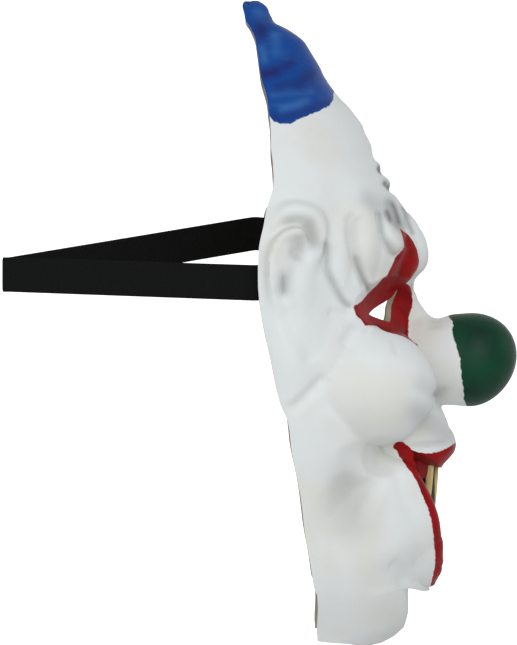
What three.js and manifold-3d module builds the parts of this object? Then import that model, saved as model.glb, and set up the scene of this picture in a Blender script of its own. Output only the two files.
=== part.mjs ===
// Clown mask: a one-piece hollow latex face with a woven elastic head strap.
// Millimetres, +Z up, the face looks towards -Y and the wearer's left is +X.
// The origin is the brow seat: the mid-plane point inside the brow where the wearer's forehead bears.

import * as THREE from "three";
import { mergeVertices } from "three/addons/utils/BufferGeometryUtils.js";
import Module from "manifold-3d";

const wasm = await Module();
wasm.setup();

// Driving sizes of the moulding
const crownRise = 130; // brow seat up to the tip of the hair tuft
const chinDrop = 204; // brow seat down to the throat edge
const faceDepth = 78; // brow seat back to the side edges
const halfWidth = 90; // mid-plane to the side edge at eye level
const wall = 2.4; // latex thickness
const overrun = 14; // how far the hollow's solid runs out past the rear and lower edges
const shellTop = 0.996; // share of crownRise at which the outside closes
const hollowTop = 0.9; // and at which the hollow closes
const cavityReach = 1.9; // how far round a point, in walls, the inner face stays under the outer one
const reliefDepth = 25; // height of the tallest lump of the face, the upper lip
const foldWidth = 8; // width of a common fold or crease
const lumpBlend = 3; // how sharply lumps that meet keep apart

// Nose: a stalk with a ball end
const noseDrop = 57.2; // brow seat down to the middle of the nose
const noseRadius = 24.4;
const noseRootHalfWidth = 18.5;
const noseRootHalfHeight = 23;
const noseReach = 49.6; // brow seat forward to the tip of the nose
const noseBallShare = 0.63; // share of the nose grid that covers the round end
const noseMiddle = noseRadius - noseReach; // middle of the round end

// Eye holes
const eyeSpacing = 66; // between the middles of the two holes
const eyeWidth = 29;
const eyeHeight = 17;
const eyeDrop = 29; // brow seat down to the middle of the eye holes

// Mouth
const mouthHalfWidth = 33;
const mouthLine = 103; // brow seat down to the corners of the mouth
const mouthDrop = 63; // corners down to the lower lip
const upperLipDrop = 10; // corners down to the middle of the upper lip's edge
const mouthFloor = 7; // brow seat back to the closed floor of the mouth

// Upper teeth
const toothLength = 30; // with the part buried in the lip
const toothThickness = 4;
const toothTop = 106; // brow seat down to the buried end
const toothSet = 9; // middle of the lip's edge back to the teeth's inner face

// Strap
const strapWidth = 18;
const strapThickness = 1.3;
const strapReach = 217; // brow seat back to the fold
const strapTab = 22; // length held inside the shell
const strapFoldRadius = 4;
const nearStrapDrop = 17; // height of the strap's middle at the wearer's right side edge, below the seat
const farStrapRise = 9; // and at the left side edge, above the seat
const foldRise = -12.5; // height of the strap's middle at the fold
const strapGap = 1.2; // between the strap's tab and the wall
const patchGap = 0.35; // between the patch and what it touches
const patchThickness = 4.2;
const patchLength = 20;
const patchHeight = 30;
const patchRun = 12; // how far the patch's block runs into the wall before it is shaped to it

// Grid of the shell
const outerColumns = 52;
const outerRows = 64;
const innerColumns = 30;
const innerRows = 44;
const noseSides = 24;

// Horizontal sections. up is a share of crownRise above the seat and of chinDrop below it, front and rear are
// shares of faceDepth ahead of the side edges, half is a share of halfWidth, full is the roundness (2 = ellipse).
const sections = [
  { up: 0.996, front: -0.093, rear: -0.187, half: 0.04, full: 2.0 },
  { up: 0.976, front: -0.027, rear: -0.187, half: 0.09, full: 2.0 },
  { up: 0.944, front: 0.0, rear: -0.173, half: 0.13, full: 2.0 },
  { up: 0.904, front: 0.06, rear: -0.153, half: 0.18, full: 2.0 },
  { up: 0.856, front: 0.173, rear: -0.12, half: 0.23, full: 2.0 },
  { up: 0.784, front: 0.27, rear: -0.093, half: 0.31, full: 2.0 },
  { up: 0.688, front: 0.375, rear: -0.067, half: 0.4, full: 2.0 },
  { up: 0.604, front: 0.46, rear: -0.033, half: 0.48, full: 2.0 },
  { up: 0.544, front: 0.548, rear: -0.02, half: 0.55, full: 2.0 },
  { up: 0.472, front: 0.615, rear: -0.007, half: 0.63, full: 2.0 },
  { up: 0.4, front: 0.69, rear: 0.0, half: 0.7, full: 2.0 },
  { up: 0.304, front: 0.77, rear: 0.013, half: 0.78, full: 2.05 },
  { up: 0.232, front: 0.825, rear: 0.013, half: 0.83, full: 2.1 },
  { up: 0.16, front: 0.87, rear: -0.02, half: 0.87, full: 2.1 },
  { up: 0.088, front: 0.9, rear: -0.047, half: 0.9, full: 2.15 },
  { up: 0.0, front: 0.913, rear: -0.08, half: 0.92, full: 2.2 },
  { up: -0.066, front: 0.9, rear: -0.087, half: 0.92, full: 2.2 },
  { up: -0.127, front: 0.893, rear: -0.08, half: 0.91, full: 2.2 },
  { up: -0.204, front: 0.88, rear: -0.047, half: 0.9, full: 2.2 },
  { up: -0.28, front: 0.88, rear: 0.0, half: 0.89, full: 2.2 },
  { up: -0.382, front: 0.887, rear: 0.053, half: 0.87, full: 2.2 },
  { up: -0.433, front: 0.887, rear: 0.107, half: 0.85, full: 2.2 },
  { up: -0.509, front: 0.893, rear: 0.133, half: 0.8, full: 2.2 },
  { up: -0.611, front: 0.907, rear: 0.187, half: 0.73, full: 2.2 },
  { up: -0.712, front: 0.92, rear: 0.22, half: 0.67, full: 2.2 },
  { up: -0.814, front: 0.92, rear: 0.267, half: 0.63, full: 2.2 },
  { up: -0.891, front: 0.913, rear: 0.28, half: 0.6, full: 2.2 },
  { up: -0.952, front: 0.887, rear: 0.287, half: 0.57, full: 2.2 },
  { up: -0.977, front: 0.833, rear: 0.3, half: 0.55, full: 2.2 },
  { up: -1.0, front: 0.74, rear: 0.32, half: 0.53, full: 2.2 },
];

// Lumps and hollows seen from the front. across and wide are shares of halfWidth, up as in the sections, high is
// half the height as a share of chinDrop, tall is a share of reliefDepth, round is the power of the dome.
const frontLumps = [
  { name: "glabella", across: 0, up: 0.0, wide: 0.15, high: 0.1, tall: 0.38, round: 0.9 },
  { name: "bridge", across: 0, up: -0.14, wide: 0.13, high: 0.09, tall: 0.34, round: 1.0 },
  { name: "inner brow", across: 0.22, up: -0.02, wide: 0.15, high: 0.085, tall: 0.22, round: 1.0 },
  { name: "outer brow", across: 0.52, up: 0.05, wide: 0.28, high: 0.11, tall: 0.2, round: 1.2 },
  { name: "eye socket", across: 0.4, up: -0.14, wide: 0.34, high: 0.075, tall: -0.42, round: 1.0 },
  { name: "cheek ball", across: 0.5, up: -0.345, wide: 0.33, high: 0.155, tall: 1.0, round: 0.9 },
  { name: "nostril wing", across: 0.24, up: -0.36, wide: 0.11, high: 0.05, tall: 0.25, round: 1.0 },
  { name: "upper lip", across: 0, up: -0.49, wide: 0.4, high: 0.125, tall: 1.08, round: 0.8 },
  { name: "jaw mound", across: 0, up: -0.67, wide: 0.68, high: 0.195, tall: 0.6, round: 1.0 },
  { name: "lower lip mound", across: 0, up: -0.775, wide: 0.27, high: 0.085, tall: 0.6, round: 0.5 },
  { name: "throat roll", across: 0, up: -0.91, wide: 0.4, high: 0.05, tall: 0.05, round: 1.0 },
];

// Lumps and hollows seen from the side. ahead and long are shares of faceDepth.
const sideLumps = [
  { name: "ear", ahead: 0.1, up: -0.07, long: 0.3, high: 0.26, tall: 0.28, round: 0.6 },
  { name: "temple", ahead: 0.45, up: 0.14, long: 0.16, high: 0.1, tall: -0.1, round: 1.5 },
  { name: "ear bowl", ahead: 0.13, up: -0.06, long: 0.12, high: 0.07, tall: -0.3, round: 1.2 },
  { name: "jaw hollow", ahead: 0.56, up: -0.67, long: 0.3, high: 0.13, tall: -0.2, round: 1.5 },
  { name: "under cheek", ahead: 0.66, up: -0.52, long: 0.24, high: 0.05, tall: -0.16, round: 1.2 },
];

// Folds seen from the side: raised (tall > 0) or sunk (tall < 0) lines through points [ahead, up].
// tall is a share of reliefDepth and width a share of foldWidth.
const sideFolds = [
  { name: "temple crease", tall: -0.14, width: 1.2, path: [[0.37, 0.09], [0.37, -0.02], [0.41, -0.08], [0.5, -0.13]] },
  { name: "brow crease", tall: -0.18, width: 1.1, path: [[0.56, 0.12], [0.5, 0.05], [0.53, -0.03], [0.62, -0.1]] },
  { name: "lid crease", tall: -0.16, width: 1.0, path: [[0.68, 0.14], [0.71, 0.06], [0.76, -0.01]] },
  { name: "helix", tall: 0.13, width: 1.0, path: [[0.0, 0.17], [0.2, 0.17], [0.3, 0.12], [0.3, 0.05], [0.26, -0.03]] },
  { name: "antihelix", tall: 0.12, width: 0.9, path: [[0.22, 0.06], [0.14, 0.06], [0.05, -0.01], [0.01, -0.1]] },
  { name: "ear groove", tall: -0.12, width: 0.8, path: [[0.25, 0.12], [0.14, 0.1], [0.03, 0.03]] },
  { name: "lobe crease", tall: -0.14, width: 1.0, path: [[0.09, -0.12], [0.13, -0.19], [0.2, -0.24], [0.38, -0.31]] },
  { name: "cheek crease", tall: -0.12, width: 1.0, path: [[0.56, -0.2], [0.47, -0.26]] },
];

// Furrows across the forehead and the frown, seen from the front: points [across, up].
const frontFolds = [
  { name: "high furrow", tall: -0.09, width: 0.8, path: [[0, 0.41], [0.22, 0.42], [0.42, 0.37]] },
  { name: "middle furrow", tall: -0.12, width: 0.8, path: [[0, 0.31], [0.2, 0.33], [0.44, 0.3]] },
  { name: "low furrow", tall: -0.1, width: 0.8, path: [[0, 0.24], [0.2, 0.26], [0.4, 0.23]] },
  { name: "frown line", tall: -0.1, width: 0.7, path: [[0.08, 0.15], [0.12, 0.05]] },
  { name: "lower lip", tall: 0.26, width: 1.1, path: [[0.38, -0.51], [0.38, -0.57], [0.32, -0.66], [0.17, -0.78], [0, -0.82]] },
];

const upToHeight = (up) => (up >= 0 ? up * crownRise : up * chinDrop);

// Smooth value of one column of the sections at a height: cubic pieces whose slope follows the neighbours.
function sectionValue(key, z) {
  const heights = sections.map((row) => upToHeight(row.up));
  const last = sections.length - 1;
  if (z >= heights[0]) return sections[0][key];
  if (z <= heights[last]) return sections[last][key];
  let i = 0;
  while (z < heights[i + 1]) i += 1;
  const slope = (k) => {
    const a = Math.max(k - 1, 0);
    const b = Math.min(k + 1, last);
    return (sections[b][key] - sections[a][key]) / (heights[b] - heights[a]);
  };
  const step = heights[i + 1] - heights[i];
  const t = (z - heights[i]) / step;
  const [t2, t3] = [t * t, t * t * t];
  return (
    (2 * t3 - 3 * t2 + 1) * sections[i][key] +
    (t3 - 2 * t2 + t) * step * slope(i) +
    (-2 * t3 + 3 * t2) * sections[i + 1][key] +
    (t3 - t2) * step * slope(i + 1)
  );
}

// Plain section: a rounded arch from one side edge over the front to the other. turn runs from -90 to 90 degrees.
function archPoint(turn, z) {
  const full = sectionValue("full", z);
  const sine = Math.sin(turn);
  const across = Math.sign(sine) * Math.abs(sine) ** (2 / full);
  const forward = Math.max(Math.cos(turn), 0) ** (2 / full);
  const rear = sectionValue("rear", z);
  const front = sectionValue("front", z);
  const ahead = rear + (front - rear) * forward;
  return { x: across * sectionValue("half", z) * halfWidth, ahead, y: faceDepth * (1 - ahead), z };
}

const clamp = (value, low, high) => Math.min(Math.max(value, low), high);
const smooth = (t) => {
  const s = clamp(t, 0, 1);
  return s * s * (3 - 2 * s);
};

// Dome: full height in the middle, falling to nothing at the rim of an ellipse.
const dome = (u, v, round) => Math.max(1 - u * u - v * v, 0) ** round;

// Distance from a point to a chain of straight pieces, all in millimetres.
function pathDistance(px, pz, path) {
  let best = Infinity;
  for (let i = 0; i + 1 < path.length; i += 1) {
    const [ax, az] = path[i];
    const [bx, bz] = path[i + 1];
    const [dx, dz] = [bx - ax, bz - az];
    const t = clamp(((px - ax) * dx + (pz - az) * dz) / (dx * dx + dz * dz), 0, 1);
    best = Math.min(best, Math.hypot(px - ax - t * dx, pz - az - t * dz));
  }
  return best;
}

// Fold: a rounded ridge or groove along its path.
function foldHeight(fold, along, z, scale) {
  const path = fold.path.map(([a, up]) => [a * scale, upToHeight(up)]);
  const t = pathDistance(along, z, path) / (fold.width * foldWidth);
  return t < 1 ? fold.tall * reliefDepth * (1 - t * t) ** 2 : 0;
}

// Relief over the plain arch, in millimetres outwards. Lumps that meet blend into one form and don't add up.
function reliefAt(x, ahead, z) {
  let raised = 0;
  let sunk = 0;
  const add = (tall, level) => {
    if (tall > 0) raised += (tall * reliefDepth * level) ** lumpBlend;
    else sunk += tall * reliefDepth * level;
  };
  for (const lump of frontLumps) {
    const u = (Math.abs(x) / halfWidth - lump.across) / lump.wide;
    const v = (z - upToHeight(lump.up)) / (lump.high * chinDrop);
    add(lump.tall, dome(u, v, lump.round));
  }
  for (const lump of sideLumps) {
    const u = (ahead - lump.ahead) / lump.long;
    const v = (z - upToHeight(lump.up)) / (lump.high * chinDrop);
    add(lump.tall, dome(u, v, lump.round));
  }
  let height = raised ** (1 / lumpBlend) + sunk;
  for (const fold of sideFolds) height += foldHeight(fold, ahead * faceDepth, z, faceDepth);
  for (const fold of frontFolds) height += foldHeight(fold, Math.abs(x), z, halfWidth);
  return height;
}

// Point of the face without the nose: the arch pushed outwards, level, by the relief.
function facePoint(turn, z, inset = 0) {
  const arch = archPoint(turn, z);
  const out = [Math.sin(turn), -Math.cos(turn)];
  const height = inset > 0 ? insetHeight(turn, z, inset) : reliefAt(arch.x, arch.ahead, z);
  return new THREE.Vector3(arch.x + height * out[0], arch.y + height * out[1], z);
}

// Height of the inner face: the lowest level, a wall thickness away, of the outer face all round the point.
function insetHeight(turn, z, inset) {
  const arch = archPoint(turn, z);
  const out = [Math.sin(turn), -Math.cos(turn)];
  const turnStep = inset / (0.7 * halfWidth);
  let lowest = Infinity;
  const probes = [[0, 0, 1]];
  for (let k = 0; k < 8; k += 1) {
    const angle = (k * Math.PI) / 4;
    const [sideways, upwards] = [Math.cos(angle), Math.sin(angle)];
    probes.push([0.7 * sideways, 0.7 * upwards, 0.7], [cavityReach * sideways, cavityReach * upwards, 0]);
  }
  for (const [sideways, upwards, back] of probes) {
    const at = facePoint(clamp(turn + sideways * turnStep, -Math.PI / 2, Math.PI / 2), z + upwards * inset);
    const level = (at.x - arch.x) * out[0] + (at.y - arch.y) * out[1] - back * inset;
    lowest = Math.min(lowest, level);
  }
  return lowest;
}

// Turn of the arch at which it is a given distance from the mid-plane.
function turnAt(x, z) {
  const share = clamp(Math.abs(x) / (sectionValue("half", z) * halfWidth), 0, 1);
  return Math.sign(x) * Math.asin(share ** (sectionValue("full", z) / 2));
}

// Point of the whole front: inside the nose's outline the grid runs over its stalk and round end.
function maskPoint(turn, z) {
  const arch = archPoint(turn, z);
  const u = arch.x / noseRootHalfWidth;
  const v = (z + noseDrop) / noseRootHalfHeight;
  const q = Math.hypot(u, v);
  if (q >= 1) return facePoint(turn, z);
  const [du, dv] = q > 1e-6 ? [u / q, v / q] : [0, 1];
  if (q < noseBallShare) {
    const angle = ((q / noseBallShare) * Math.PI) / 2;
    const r = noseRadius * Math.sin(angle);
    return new THREE.Vector3(r * du, noseMiddle - noseRadius * Math.cos(angle), r * dv - noseDrop);
  }
  const rimZ = noseRootHalfHeight * dv - noseDrop;
  const root = facePoint(turnAt(noseRootHalfWidth * du, rimZ), rimZ);
  const rim = new THREE.Vector3(noseRadius * du, noseMiddle, noseRadius * dv - noseDrop);
  return rim.lerp(root, (q - noseBallShare) / (1 - noseBallShare));
}

// Closed solid between two surfaces of rings that have the same number of points, with flat-fanned ends.
function loftRings(rings) {
  const count = rings[0].length;
  const positions = rings.flat().flatMap((p) => [p.x, p.y, p.z]);
  const faces = [];
  for (let i = 0; i + 1 < rings.length; i += 1) {
    for (let j = 0; j < count; j += 1) {
      const a = i * count + j;
      const b = i * count + ((j + 1) % count);
      faces.push(a, b, b + count, a, b + count, a + count);
    }
  }
  const cap = (start, ring, flip) => {
    const middle = positions.length / 3;
    const ends = ring[0].clone().add(ring[count - 1]).multiplyScalar(0.5);
    positions.push(ends.x, ends.y, ends.z);
    for (let j = 0; j + 1 < count; j += 1) {
      faces.push(...(flip ? [middle, start + j + 1, start + j] : [middle, start + j, start + j + 1]));
    }
    return middle;
  };
  const last = (rings.length - 1) * count;
  const first = cap(0, rings[0], true);
  const final = cap(last, rings[rings.length - 1], false);
  faces.push(first, 0, count - 1, final, last + count - 1, last);
  const geometry = new THREE.BufferGeometry();
  geometry.setAttribute("position", new THREE.Float32BufferAttribute(positions, 3));
  geometry.setIndex(faces);
  return geometry;
}

// Six times the volume inside a closed mesh, below 0 where its faces point inwards.
function signedVolume(points, corners) {
  const at = (i) => new THREE.Vector3().fromArray(points, 3 * corners[i]);
  let sum = 0;
  for (let i = 0; i < corners.length; i += 3) sum += at(i).dot(at(i + 1).cross(at(i + 2)));
  return sum;
}

function toSolid(geometry) {
  const bare = geometry.clone();
  bare.deleteAttribute("normal");
  bare.deleteAttribute("uv");
  const merged = mergeVertices(bare, 1e-4);
  const vertProperties = new Float32Array(merged.attributes.position.array);
  const triVerts = new Uint32Array(merged.index.array);
  if (signedVolume(vertProperties, triVerts) < 0) triVerts.reverse();
  return new wasm.Manifold(new wasm.Mesh({ numProp: 3, vertProperties, triVerts }));
}

function toGeometry(solid) {
  const mesh = solid.getMesh();
  const geometry = new THREE.BufferGeometry();
  geometry.setAttribute("position", new THREE.Float32BufferAttribute(mesh.vertProperties, 3));
  geometry.setIndex(new THREE.Uint32BufferAttribute(mesh.triVerts, 1));
  const faceted = geometry.toNonIndexed();
  faceted.computeVertexNormals();
  return faceted;
}

// Heights of the rows, closer together where the relief is fine.
function rowHeights(count, top, bottom) {
  const weight = (z) => (z < upToHeight(0.3) && z > upToHeight(-0.93) ? 1.5 : 1);
  const samples = 400;
  const sums = [0];
  for (let i = 1; i <= samples; i += 1) sums.push(sums[i - 1] + weight(bottom + ((top - bottom) * i) / samples));
  const heights = [];
  let i = 0;
  for (let row = 0; row <= count; row += 1) {
    const goal = (sums[samples] * row) / count;
    while (i < samples && sums[i + 1] < goal) i += 1;
    const part = i < samples ? (goal - sums[i]) / (sums[i + 1] - sums[i]) : 0;
    heights.push(bottom + ((top - bottom) * (i + part)) / samples);
  }
  return heights;
}

// Turns of the columns, closer together near the mid-plane and at the ears.
const columnTurn = (share) => (share - 0.06 * Math.sin(2 * Math.PI * share)) * (Math.PI / 2);

// Solid behind the front of the mask, or with an inset the hollow behind its wall, open at the back and below.
function frontSolid(columns, rows, inset) {
  const open = inset > 0;
  const top = upToHeight(open ? hollowTop : shellTop);
  const bottom = -chinDrop;
  const heights = rowHeights(rows, top, bottom);
  const ring = (z, drop) => {
    const points = [];
    for (let j = 0; j <= columns; j += 1) {
      const turn = columnTurn((2 * j) / columns - 1);
      const point = open ? facePoint(turn, z, inset) : maskPoint(turn, z);
      points.push(point.setZ(point.z - drop));
    }
    if (open) {
      points.unshift(points[0].clone().add(new THREE.Vector3(0, overrun, 0)));
      points.push(points[points.length - 1].clone().add(new THREE.Vector3(0, overrun, 0)));
    }
    return points;
  };
  const rings = heights.map((z) => ring(z, 0));
  if (open) rings.unshift(ring(bottom, overrun));
  return toSolid(loftRings(rings));
}

// Hollow of the nose: narrower than its root where it leaves the face, then round as its ball end.
function noseHollow(inset) {
  const radius = noseRadius - inset;
  const ringAt = (y, across, high) => {
    const points = [];
    for (let k = 0; k < noseSides; k += 1) {
      const angle = (2 * Math.PI * k) / noseSides;
      points.push(new THREE.Vector3(across * Math.cos(angle), y, high * Math.sin(angle) - noseDrop));
    }
    return points;
  };
  const rings = [ringAt(mouthFloor * 2, noseRootHalfWidth - 1.5 * inset, noseRootHalfHeight - 1.5 * inset)];
  for (let k = 0; k < 6; k += 1) {
    const angle = (k * Math.PI) / 12;
    rings.push(ringAt(noseMiddle - radius * Math.sin(angle), radius * Math.cos(angle), radius * Math.cos(angle)));
  }
  return toSolid(loftRings(rings));
}

// Eye hole: a rounded triangle, low at the outer corner and high near the nose, cut straight through.
function eyeCutter(side) {
  const shape = new THREE.Shape();
  const [w, h] = [eyeWidth / 2, eyeHeight / 2];
  shape.moveTo(-w * side, -h * 0.75);
  shape.quadraticCurveTo(0, -h * 1.15, w * side, -h * 0.3);
  shape.quadraticCurveTo(w * side * 0.3, h * 0.6, -w * side * 0.6, h);
  shape.quadraticCurveTo(-w * side * 0.95, h * 0.4, -w * side, -h * 0.75);
  const cutter = new THREE.ExtrudeGeometry(shape, { depth: 2 * faceDepth, bevelEnabled: false, curveSegments: 5 });
  cutter.rotateX(Math.PI / 2);
  cutter.translate((side * eyeSpacing) / 2, faceDepth * 0.7, -eyeDrop);
  return toSolid(cutter);
}

// Mouth: open from the upper lip's edge down to the lower lip, rounded below, cut from the front to its floor.
function mouthCutter(grow, floor) {
  const half = mouthHalfWidth + grow;
  const corner = -mouthLine + grow;
  const middle = corner - upperLipDrop;
  const bottom = -mouthLine - mouthDrop - grow;
  const shape = new THREE.Shape();
  shape.moveTo(-half, corner);
  shape.bezierCurveTo(-half, corner - mouthDrop * 0.6, -half * 0.45, bottom, 0, bottom);
  shape.bezierCurveTo(half * 0.45, bottom, half, corner - mouthDrop * 0.6, half, corner);
  shape.quadraticCurveTo(half * 0.5, middle, 0, middle);
  shape.quadraticCurveTo(-half * 0.5, middle, -half, corner);
  const cutter = new THREE.ExtrudeGeometry(shape, { depth: faceDepth, bevelEnabled: false, curveSegments: 10 });
  cutter.rotateX(Math.PI / 2);
  cutter.translate(0, floor, 0);
  return toSolid(cutter);
}

// Upper teeth: two broad ones in the middle and a narrower one at each side, rooted in the upper lip.
const teeth = [
  { across: 0.15, wide: 0.115, set: 0.0, length: 1.0 },
  { across: 0.43, wide: 0.1, set: 0.2, length: 0.94 },
];

function toothSolid(tooth, side) {
  const half = tooth.wide * mouthHalfWidth;
  const drop = toothLength * tooth.length;
  const shape = new THREE.Shape();
  shape.moveTo(-half, 0);
  shape.lineTo(-half * 1.1, -drop + half);
  shape.quadraticCurveTo(-half, -drop, 0, -drop);
  shape.quadraticCurveTo(half, -drop, half * 1.1, -drop + half);
  shape.lineTo(half, 0);
  shape.closePath();
  const block = new THREE.ExtrudeGeometry(shape, { depth: toothThickness, bevelEnabled: false, curveSegments: 4 });
  block.rotateX(Math.PI / 2);
  const lipFront = facePoint(0, -mouthLine - upperLipDrop).y;
  block.translate(side * tooth.across * mouthHalfWidth, lipFront + toothSet + tooth.set * reliefDepth, -toothTop);
  return toSolid(block);
}

const outer = frontSolid(outerColumns, outerRows, 0);
const faceHollow = frontSolid(innerColumns, innerRows, wall).add(noseHollow(wall));
const cavity = faceHollow.subtract(mouthCutter(wall, mouthFloor + wall));
let shell = outer.subtract(cavity).subtract(mouthCutter(0, mouthFloor));
for (const side of [-1, 1]) {
  for (const tooth of teeth) shell = shell.add(toothSolid(tooth, side));
  shell = shell.subtract(eyeCutter(side));
}

// Strap: a flat band along stations, each with its middle and the direction across its thickness.
function bandSolid(stations, width, thickness) {
  const rings = stations.map(({ at, out, along }) => {
    const up = new THREE.Vector3().crossVectors(out, along).normalize();
    const corner = (a, b) =>
      at.clone().addScaledVector(up, (a * width) / 2).addScaledVector(out, (b * thickness) / 2);
    return [corner(-1, -1), corner(-1, 1), corner(1, 1), corner(1, -1)];
  });
  return toSolid(loftRings(rings));
}

// Where the strap's tab lies at a side edge: clear of the wall over the whole of the tab.
function strapSeat(side, z) {
  const edge = facePoint((side * Math.PI) / 2, z, wall);
  let reach = Infinity;
  for (let level = -2; level <= 2; level += 1) {
    const height = z + (level * strapWidth) / 4;
    for (let turn = Math.PI / 2; turn > 0.6; turn -= 0.04) {
      const point = facePoint(side * turn, height, wall);
      if (point.y < edge.y - strapTab - 2) break;
      reach = Math.min(reach, Math.abs(point.x));
    }
  }
  return { x: side * (reach - strapGap - strapThickness / 2), y: edge.y, z };
}

function strapRoute() {
  const right = strapSeat(-1, -nearStrapDrop);
  const left = strapSeat(1, farStrapRise);
  const corners = [
    new THREE.Vector3(right.x, right.y - strapTab, right.z),
    new THREE.Vector3(right.x, right.y + 2, right.z),
    new THREE.Vector3(-strapFoldRadius, strapReach - strapFoldRadius, foldRise),
  ];
  const folds = [];
  for (let k = 1; k < 6; k += 1) {
    const angle = (k * Math.PI) / 6;
    folds.push(
      new THREE.Vector3(
        -strapFoldRadius * Math.cos(angle),
        strapReach - strapFoldRadius + strapFoldRadius * Math.sin(angle),
        foldRise,
      ),
    );
  }
  corners.push(...folds);
  corners.push(new THREE.Vector3(strapFoldRadius, strapReach - strapFoldRadius, foldRise));
  corners.push(new THREE.Vector3(left.x, left.y + 2, left.z));
  corners.push(new THREE.Vector3(left.x, left.y - strapTab, left.z));
  return corners;
}

// The strap, or with a clearance the room that it needs.
function strapSolid(clearance = 0) {
  const points = strapRoute();
  const stations = points.map((at, i) => {
    const before = points[Math.max(i - 1, 0)];
    const after = points[Math.min(i + 1, points.length - 1)];
    const along = after.clone().sub(before).normalize();
    const out = new THREE.Vector3(along.y, -along.x, 0).normalize();
    return { at, out, along };
  });
  return bandSolid(stations, strapWidth + 2 * clearance, strapThickness + 2 * clearance);
}

// Patch: a block over the strap's tab, shaped to the wall and slotted for the tab.
function patchSolid(side) {
  const z = side < 0 ? -nearStrapDrop : farStrapRise;
  const seat = strapSeat(side, z);
  const tabFace = Math.abs(seat.x) - strapThickness / 2;
  const depth = patchThickness + patchRun;
  const block = new THREE.BoxGeometry(depth, patchLength, patchHeight);
  block.translate(side * (tabFace - patchThickness / 2 - patchGap + depth / 2), seat.y - strapTab / 2 - 1, z);
  const slot = new THREE.BoxGeometry(strapThickness + 2 * patchGap, 2 * strapTab, strapWidth + 2 * patchGap);
  slot.translate(seat.x, seat.y - strapTab / 2, z);
  const room = frontSolid(innerColumns, innerRows, wall + patchGap);
  return toSolid(block).intersect(room).subtract(toSolid(slot));
}

const latex = new THREE.MeshStandardMaterial({ color: 0xdfe3e4, roughness: 0.55, metalness: 0 });
const elastic = new THREE.MeshStandardMaterial({ color: 0x141615, roughness: 0.9, metalness: 0 });
const patchLatex = new THREE.MeshStandardMaterial({ color: 0xcfc8b8, roughness: 0.7, metalness: 0 });

const mask = new THREE.Group();
function addPiece(name, solid, material) {
  const mesh = new THREE.Mesh(toGeometry(solid), material);
  mesh.name = name;
  mask.add(mesh);
}

addPiece("mask_shell", shell.subtract(strapSolid(patchGap)), latex);
addPiece("head_strap", strapSolid(), elastic);
addPiece("strap_patch_right", patchSolid(-1), patchLatex);
addPiece("strap_patch_left", patchSolid(1), patchLatex);

export default mask;
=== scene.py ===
"""Looks of the clown mask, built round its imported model.

Lengths are millimetres in the part's own frame until a mesh is made, then metres. +Z is up, the face looks
towards -Y, and the wearer's right side, which the camera sees, is at -X.
"""

import logging
import math
from dataclasses import dataclass, field
from enum import Enum
from typing import Callable, Sequence

import bpy
import numpy as np
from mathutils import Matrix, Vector

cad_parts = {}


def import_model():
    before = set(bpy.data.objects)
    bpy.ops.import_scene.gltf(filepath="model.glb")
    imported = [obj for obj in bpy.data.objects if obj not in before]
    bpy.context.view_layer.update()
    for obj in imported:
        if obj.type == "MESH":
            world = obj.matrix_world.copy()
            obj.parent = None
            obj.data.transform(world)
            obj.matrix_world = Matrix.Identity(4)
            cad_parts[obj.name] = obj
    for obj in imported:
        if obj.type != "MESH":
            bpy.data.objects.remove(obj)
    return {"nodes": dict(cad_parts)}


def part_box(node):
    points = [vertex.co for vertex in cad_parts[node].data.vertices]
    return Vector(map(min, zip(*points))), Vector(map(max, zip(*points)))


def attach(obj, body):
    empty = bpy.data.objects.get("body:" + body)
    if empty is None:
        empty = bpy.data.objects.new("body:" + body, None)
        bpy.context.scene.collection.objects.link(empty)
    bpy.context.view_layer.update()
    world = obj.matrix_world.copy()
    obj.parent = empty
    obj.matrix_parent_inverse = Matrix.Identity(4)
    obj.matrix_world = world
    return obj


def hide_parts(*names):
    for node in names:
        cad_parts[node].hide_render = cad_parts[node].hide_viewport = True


LOG = logging.getLogger("clown_mask")
BODY = "root"
# Metres in a millimetre
MM = 0.001
# The side camera's distance from the mid-plane, and the way back and height that it looks at, in millimetres
VIEW_DISTANCE = 2300.0
VIEW_MIDDLE = (84.5, -37.7)

Array = np.ndarray
Colour = tuple[float, float, float, float]
Material = bpy.types.Material
Mesh = bpy.types.Mesh
Piece = bpy.types.Object
Points = Sequence[tuple[float, float]]
Socket = bpy.types.NodeSocket


class Side(Enum):
    """Side of the wearer's head."""

    RIGHT = -1
    LEFT = 1


class Cut(Enum):
    """What a solid does to the one that it meets."""

    TAKE_AWAY = "DIFFERENCE"
    ADD = "UNION"


def linear(red: int, green: int, blue: int) -> Colour:
    """Turns a colour of 0 to 255 into the linear one that shaders use.

    Args:
        red: Red, 0 to 255.
        green: Green, 0 to 255.
        blue: Blue, 0 to 255.

    Returns:
        Linear red, green, blue and full alpha.
    """
    parts = [((c / 255 + 0.055) / 1.055) ** 2.4 if c > 10 else c / 255 / 12.92 for c in (red, green, blue)]
    return (*parts, 1.0)


def smooth_step(low: float, high: float, value: Array) -> Array:
    """Rises from 0 at low to 1 at high as 3t^2 - 2t^3."""
    t = np.clip((value - low) / (high - low), 0, 1)
    return t * t * (3 - 2 * t)


def bell(value: Array, middle: float, width: float | Array, power: int = 2) -> Array:
    """Falls off on both sides of a middle as exp(-(distance / width)^power)."""
    return np.exp(-(((value - middle) / width) ** power))


def rounded(values: Array, power: float | Array) -> Array:
    """Raises the size of each value to a power and keeps its sign."""
    return np.sign(values) * np.abs(values) ** power


def table_value(value: Array, table: Points) -> Array:
    """Looks values up in rows of (value, result), straight between them."""
    return np.interp(value, *np.array(table).T)


def within(value: Array, low: float, high: float) -> Array:
    """How deep values lie between two limits, below 0 outside them."""
    return np.minimum(value - low, high - value)


def full_turn(count: int) -> Array:
    """Angles of one full turn in equal steps, without the last one."""
    return np.linspace(0, 2 * math.pi, count, endpoint=False)


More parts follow.
